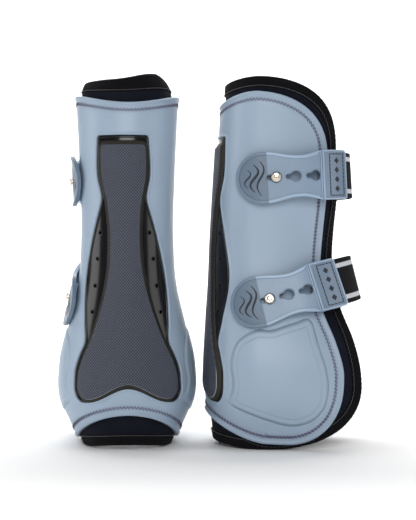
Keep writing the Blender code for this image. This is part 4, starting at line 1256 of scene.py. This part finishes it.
# Diamond: square loops that climb from the web to a flat top
def diamondShape(centre, size, low):
    corners = np.array([(size, 0), (0, size * 1.15), (-size, 0), (0, -size * 1.15)])
    diamond = resample(corners + centre, 0.35 * mm)
    ring = [(0, low - 0.3 * mm), (0, low + 0.15 * mm), (0.45 * mm, low + 0.28 * mm),
            (0.9 * mm, low + 0.28 * mm)]
    loops = []
    for shift, out in ring:
        moved = centre + (diamond - centre) * (1 - shift / size * 1.2)
        loops.append(np.column_stack([moved, 0 * moved[:, 0] + out]))
    loops.append(np.column_stack([centre + 0 * diamond, 0 * diamond[:, 0] + low + 0.28 * mm]))
    return np.array(loops).reshape(-1, 3), [gridFaces(len(loops), len(diamond), False, True)]


# The plate sewn to the elastic: rim, a stitched frame and four small diamonds
def makePlate(boot, level, strap):
    prefix = boot["name"] + level.capitalize()
    low, high = tabOut - tab["thickness"] / 2, tabOut + tab["thickness"] / 2
    webLow, webHigh = tabOut - tab["web"] / 2, tabOut + tab["web"] / 2
    bodyName = f"{boot['name']}_{level}_strap"
    outline = resample(plateOutline(), tab["spacing"])
    edge = [(-x, y) for x, y in barProfile(tab["plateRim"], low, high, 0.5 * mm)]
    shapes = [webShape([shiftOutline(outline, -0.4 * mm)], webLow, webHigh),
              rimShape(outline, edge)]
    strapPiece(prefix + "Plate", shapes, strap, boot, materials["tab"], bodyName,
               [f"{boot['name']}_{level}_tab_plate"])
    middle = (tab["plateStart"] + tab["plateEnd"]) / 2 - 0.3 * mm
    halfLong, halfWide = motif["halfLong"], motif["halfWide"]
    frameLine = np.array([(middle - halfLong, -halfWide), (middle + halfLong, -halfWide),
                          (middle + halfLong, halfWide), (middle - halfLong, halfWide)])
    shapes = [threadShape(resample(frameLine, 0.4 * mm), webHigh, motif["thread"],
                          motif["pitch"], True)]
    shapes += [diamondShape(np.array([middle, step * motif["spacing"]]), motif["size"], webHigh)
               for step in motif["steps"]]
    strapPiece(prefix + "Motif", shapes, strap, boot, materials["navy"], bodyName, sharp=False)


# Elastic band: a flat rounded profile carried along the strap between two distances
def bandShape(start, end, steps):
    half, thick = elastic["width"] / 2, elastic["thickness"] / 2
    edge = [(half - thick + thick * cos(t), thick * sin(t))
            for t in np.linspace(pi / 2, -pi / 2, 7)]
    across = np.linspace(half - thick, -(half - thick), 34)
    profile = [(w, thick) for w in across[::-1][:-1]] + edge + [(w, -thick) for w in across[1:-1]]
    profile += [(-w, out) for w, out in reversed(edge)]
    profile = np.array(profile)
    along = np.linspace(start, end, steps)
    points = np.empty((steps, len(profile), 3))
    points[..., 0] = along[:, None]
    points[..., 1] = profile[None, :, 0]
    points[..., 2] = profile[None, :, 1]
    ribs = np.cos(along[:, None] * 2 * pi / elastic["ribPitch"])
    points[..., 2] *= 1 - elastic["ribDepth"] * ribs
    m = len(profile)
    fan = np.arange(1, m - 1)
    last = (steps - 1) * m
    caps = [np.stack([0 * fan, fan, fan + 1], axis=1),
            last + np.stack([0 * fan, fan + 1, fan], axis=1)]
    return points.reshape(-1, 3), [gridFaces(steps, m, False, True)] + caps


sewnBox = {"near": 17 * mm, "far": 3 * mm, "half": 13 * mm, "thread": 0.34 * mm, "pitch": 2.8 * mm,
           "sink": 0.05 * mm}


# Elastic: the tail under the plate, the band round the front, and the box sewn at its end
def makeElastic(boot, level, strap):
    prefix = boot["name"] + level.capitalize()
    end = strapLine(strap, boot)[0][-1]
    bootBody, strapBody = boot["name"] + "_boot", f"{boot['name']}_{level}_strap"
    gap = elastic["fit"] / 2
    strapPiece(prefix + "Tail", [bandShape(tab["plateStart"], tab["plateEnd"] - gap, 40)], strap,
               boot, materials["elastic"], strapBody, [f"{boot['name']}_{level}_elastic_tail"],
               False)
    band = strapPiece(prefix + "Elastic", [bandShape(tab["plateEnd"] - gap, end, 180)], strap,
                      boot, materials["elastic"], None, [f"{boot['name']}_{level}_elastic"],
                      False)
    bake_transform(band)
    near, far, half = end - sewnBox["near"], end - sewnBox["far"], sewnBox["half"]
    box = resample(np.array([(near, -half), (far, -half), (far, half), (near, half)]), 0.5 * mm)
    stitches = threadShape(box, elastic["thickness"] / 2 - sewnBox["sink"], sewnBox["thread"],
                           sewnBox["pitch"], True)
    strapPiece(prefix + "SewnBox", [stitches], strap, boot, materials["thread"], bootBody,
               sharp=False)


# Stud: head with a round top, neck, collar and shank, turned about the tab's normal
def makeStud(boot, level, strap):
    prefix = boot["name"] + level.capitalize()
    half, back, front, centre = section(strap["height"])
    forward = strap["depth"] * body["depth"] - centre
    middle = strapPoint({**strap, "rise": 0}, boot, np.zeros(1), 0, tabOut)[0]
    shellX = half * sqrt(1 - (forward / front) ** 2)
    above = middle[2] - strap["height"] * body["height"]
    stand = (middle[0] - shellX) * cos(strap["lean"]) + above * sin(strap["lean"])
    outs = np.array([tabOut - stand, tabOut])
    ends = toWorld(strapPoint(strap, boot, np.zeros(2), 0, outs), boot)
    under = stand + tab["thickness"] / 2 + stud["clearance"]
    t = np.linspace(0, pi / 2, 10)
    radius, rise, neck, rim = stud["headRadius"], stud["headHeight"], stud["neck"], stud["collar"]
    profile = [(0.62 * radius * sin(s), under + rise - 0.30 * rise * (1 - cos(s))) for s in t]
    profile += [(radius * (0.66 + 0.34 * sin(s)), under + 0.66 * rise * cos(s) + 0.04 * rise)
                for s in t]
    low, high, inside = stud["seat"], stud["seat"] + stud["collarHeight"], -body["shellWall"]
    profile += [(0.93 * radius, under), (neck, under), (neck, high + 0.2 * mm),
                (neck + 0.5 * mm, high), (rim - 0.3 * mm, high), (rim, high - 0.25 * mm),
                (rim, low), (neck - 0.1 * mm, low), (neck - 0.1 * mm, inside), (0, inside)]
    points, faces = turnedShape(profile, ends[0], ends[1] - ends[0], stud["sides"])
    mesh = putMesh(prefix + "Stud", points, faces)
    mesh.set_sharp_from_angle(angle=radians(50))
    putObject(prefix + "Stud", mesh, materials["metal"], boot["name"] + "_boot",
              [f"{boot['name']}_{level}_stud"])
    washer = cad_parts[f"{boot['name']}_{level}_stud_washer"]
    for place in washer.material_slots:
        place.material = materials["metal"]


for boot in boots:
    makeShell(boot)
    makeEdgeStitch(boot)
    print(boot["name"], "shell made")
    makeLiner(boot)
    makeTape(boot)
    makeTapeStitch(boot)
    print(boot["name"], "liner made")
    makeBase(boot)
    makePad(boot)
    print(boot["name"], "strike pad made")
    for level, strap in straps.items():
        makeTab(boot, level, strap)
        makePlate(boot, level, strap)
        makeElastic(boot, level, strap)
        makeStud(boot, level, strap)
    print(boot["name"], "straps made")


room = {"front": -1.6, "back": 0.9, "radius": 0.5, "wall": 2.6, "side": 2.6,
        "colours": ((0.93, 0.93, 0.93), (0.96, 0.96, 0.96)), "sky": 0.16, "aim": (0, 0, 0.13)}
lights = [
    {"name": "key", "place": (-1.10, -0.25, 0.40), "size": (0.5, 1.0), "power": 4.4},
    {"name": "front", "place": (0.00, -1.30, 0.65), "size": (0.7, 0.7), "power": 8.6},
    {"name": "fill", "place": (1.10, -0.60, 0.40), "size": (0.5, 0.7), "power": 2},
    {"name": "top", "place": (0.0, 0.1, 1.5), "size": (1.2, 0.9), "power": 4},
    {"name": "wall", "place": (0.0, 0.55, 1.3), "size": (2.4, 0.5), "power": 30,
     "aim": (0, 1.4, 0.2)},
]


# Floor that curves up behind: a quarter circle joins the ground to the wall
def makeFloor():
    back, radius = room["back"], room["radius"]
    profile = [(room["front"], 0.0), (back, 0.0)]
    profile += [(back + radius * sin(t), radius - radius * cos(t))
                for t in np.linspace(0, pi / 2, 16)[1:]]
    profile += [(back + radius, room["wall"])]
    points = np.array([[(x, y, z) for y, z in profile] for x in (-room["side"], room["side"])])
    mesh = bpy.data.meshes.new("floor")
    mesh.from_pydata(points.reshape(-1, 3).tolist(), [], gridFaces(2, len(profile)).tolist())
    mesh.polygons.foreach_set("use_smooth", np.ones(len(mesh.polygons), bool))
    floor = bpy.data.objects.new("floor", mesh)
    bpy.context.scene.collection.objects.link(floor)
    material, tree, shader, place = newMaterial("paleFloor", {"Roughness": 0.9})
    tint = mixColour(tree, noise(tree, place, 3, 2), *room["colours"])
    tree.links.new(tint, shader.inputs["Base Color"])
    mesh.materials.append(material)


# Rectangle of light, turned towards its aim
def addLight(light):
    data = bpy.data.lights.new(light["name"], "AREA")
    data.shape = "RECTANGLE"
    data.size, data.size_y = light["size"]
    data.energy = light["power"]
    item = bpy.data.objects.new(light["name"], data)
    bpy.context.scene.collection.objects.link(item)
    item.location = light["place"]
    toAim = Vector(light.get("aim", room["aim"])) - Vector(light["place"])
    item.rotation_euler = toAim.to_track_quat("-Z", "Y").to_euler()


makeFloor()
for light in lights:
    addLight(light)
world = bpy.data.worlds.new("room")
world.use_nodes = True
tree = world.node_tree
seen = addNode(tree, "ShaderNodeLightPath").outputs["Is Camera Ray"]
sky = tree.nodes["Background"]
sky.inputs["Color"].default_value = (1, 1, 1, 1)
tree.links.new(mathNode(tree, "MAXIMUM", seen, room["sky"]), sky.inputs["Strength"])
bpy.context.scene.world = world

view = {"x": -0.0023, "distance": 0.862, "height": 0.1318, "opening": radians(24.5)}
cameraData = bpy.data.cameras.new("camera")
cameraData.sensor_fit = "VERTICAL"
cameraData.lens = cameraData.sensor_height / 2 / tan(view["opening"] / 2)
camera = bpy.data.objects.new("camera", cameraData)
bpy.context.scene.collection.objects.link(camera)
camera.location = (view["x"], boots[0]["y"] - view["distance"], view["height"])
camera.rotation_euler = (pi / 2, 0, 0)
bpy.context.scene.camera = camera
bpy.context.scene.view_settings.view_transform = "Standard"
print("room made")
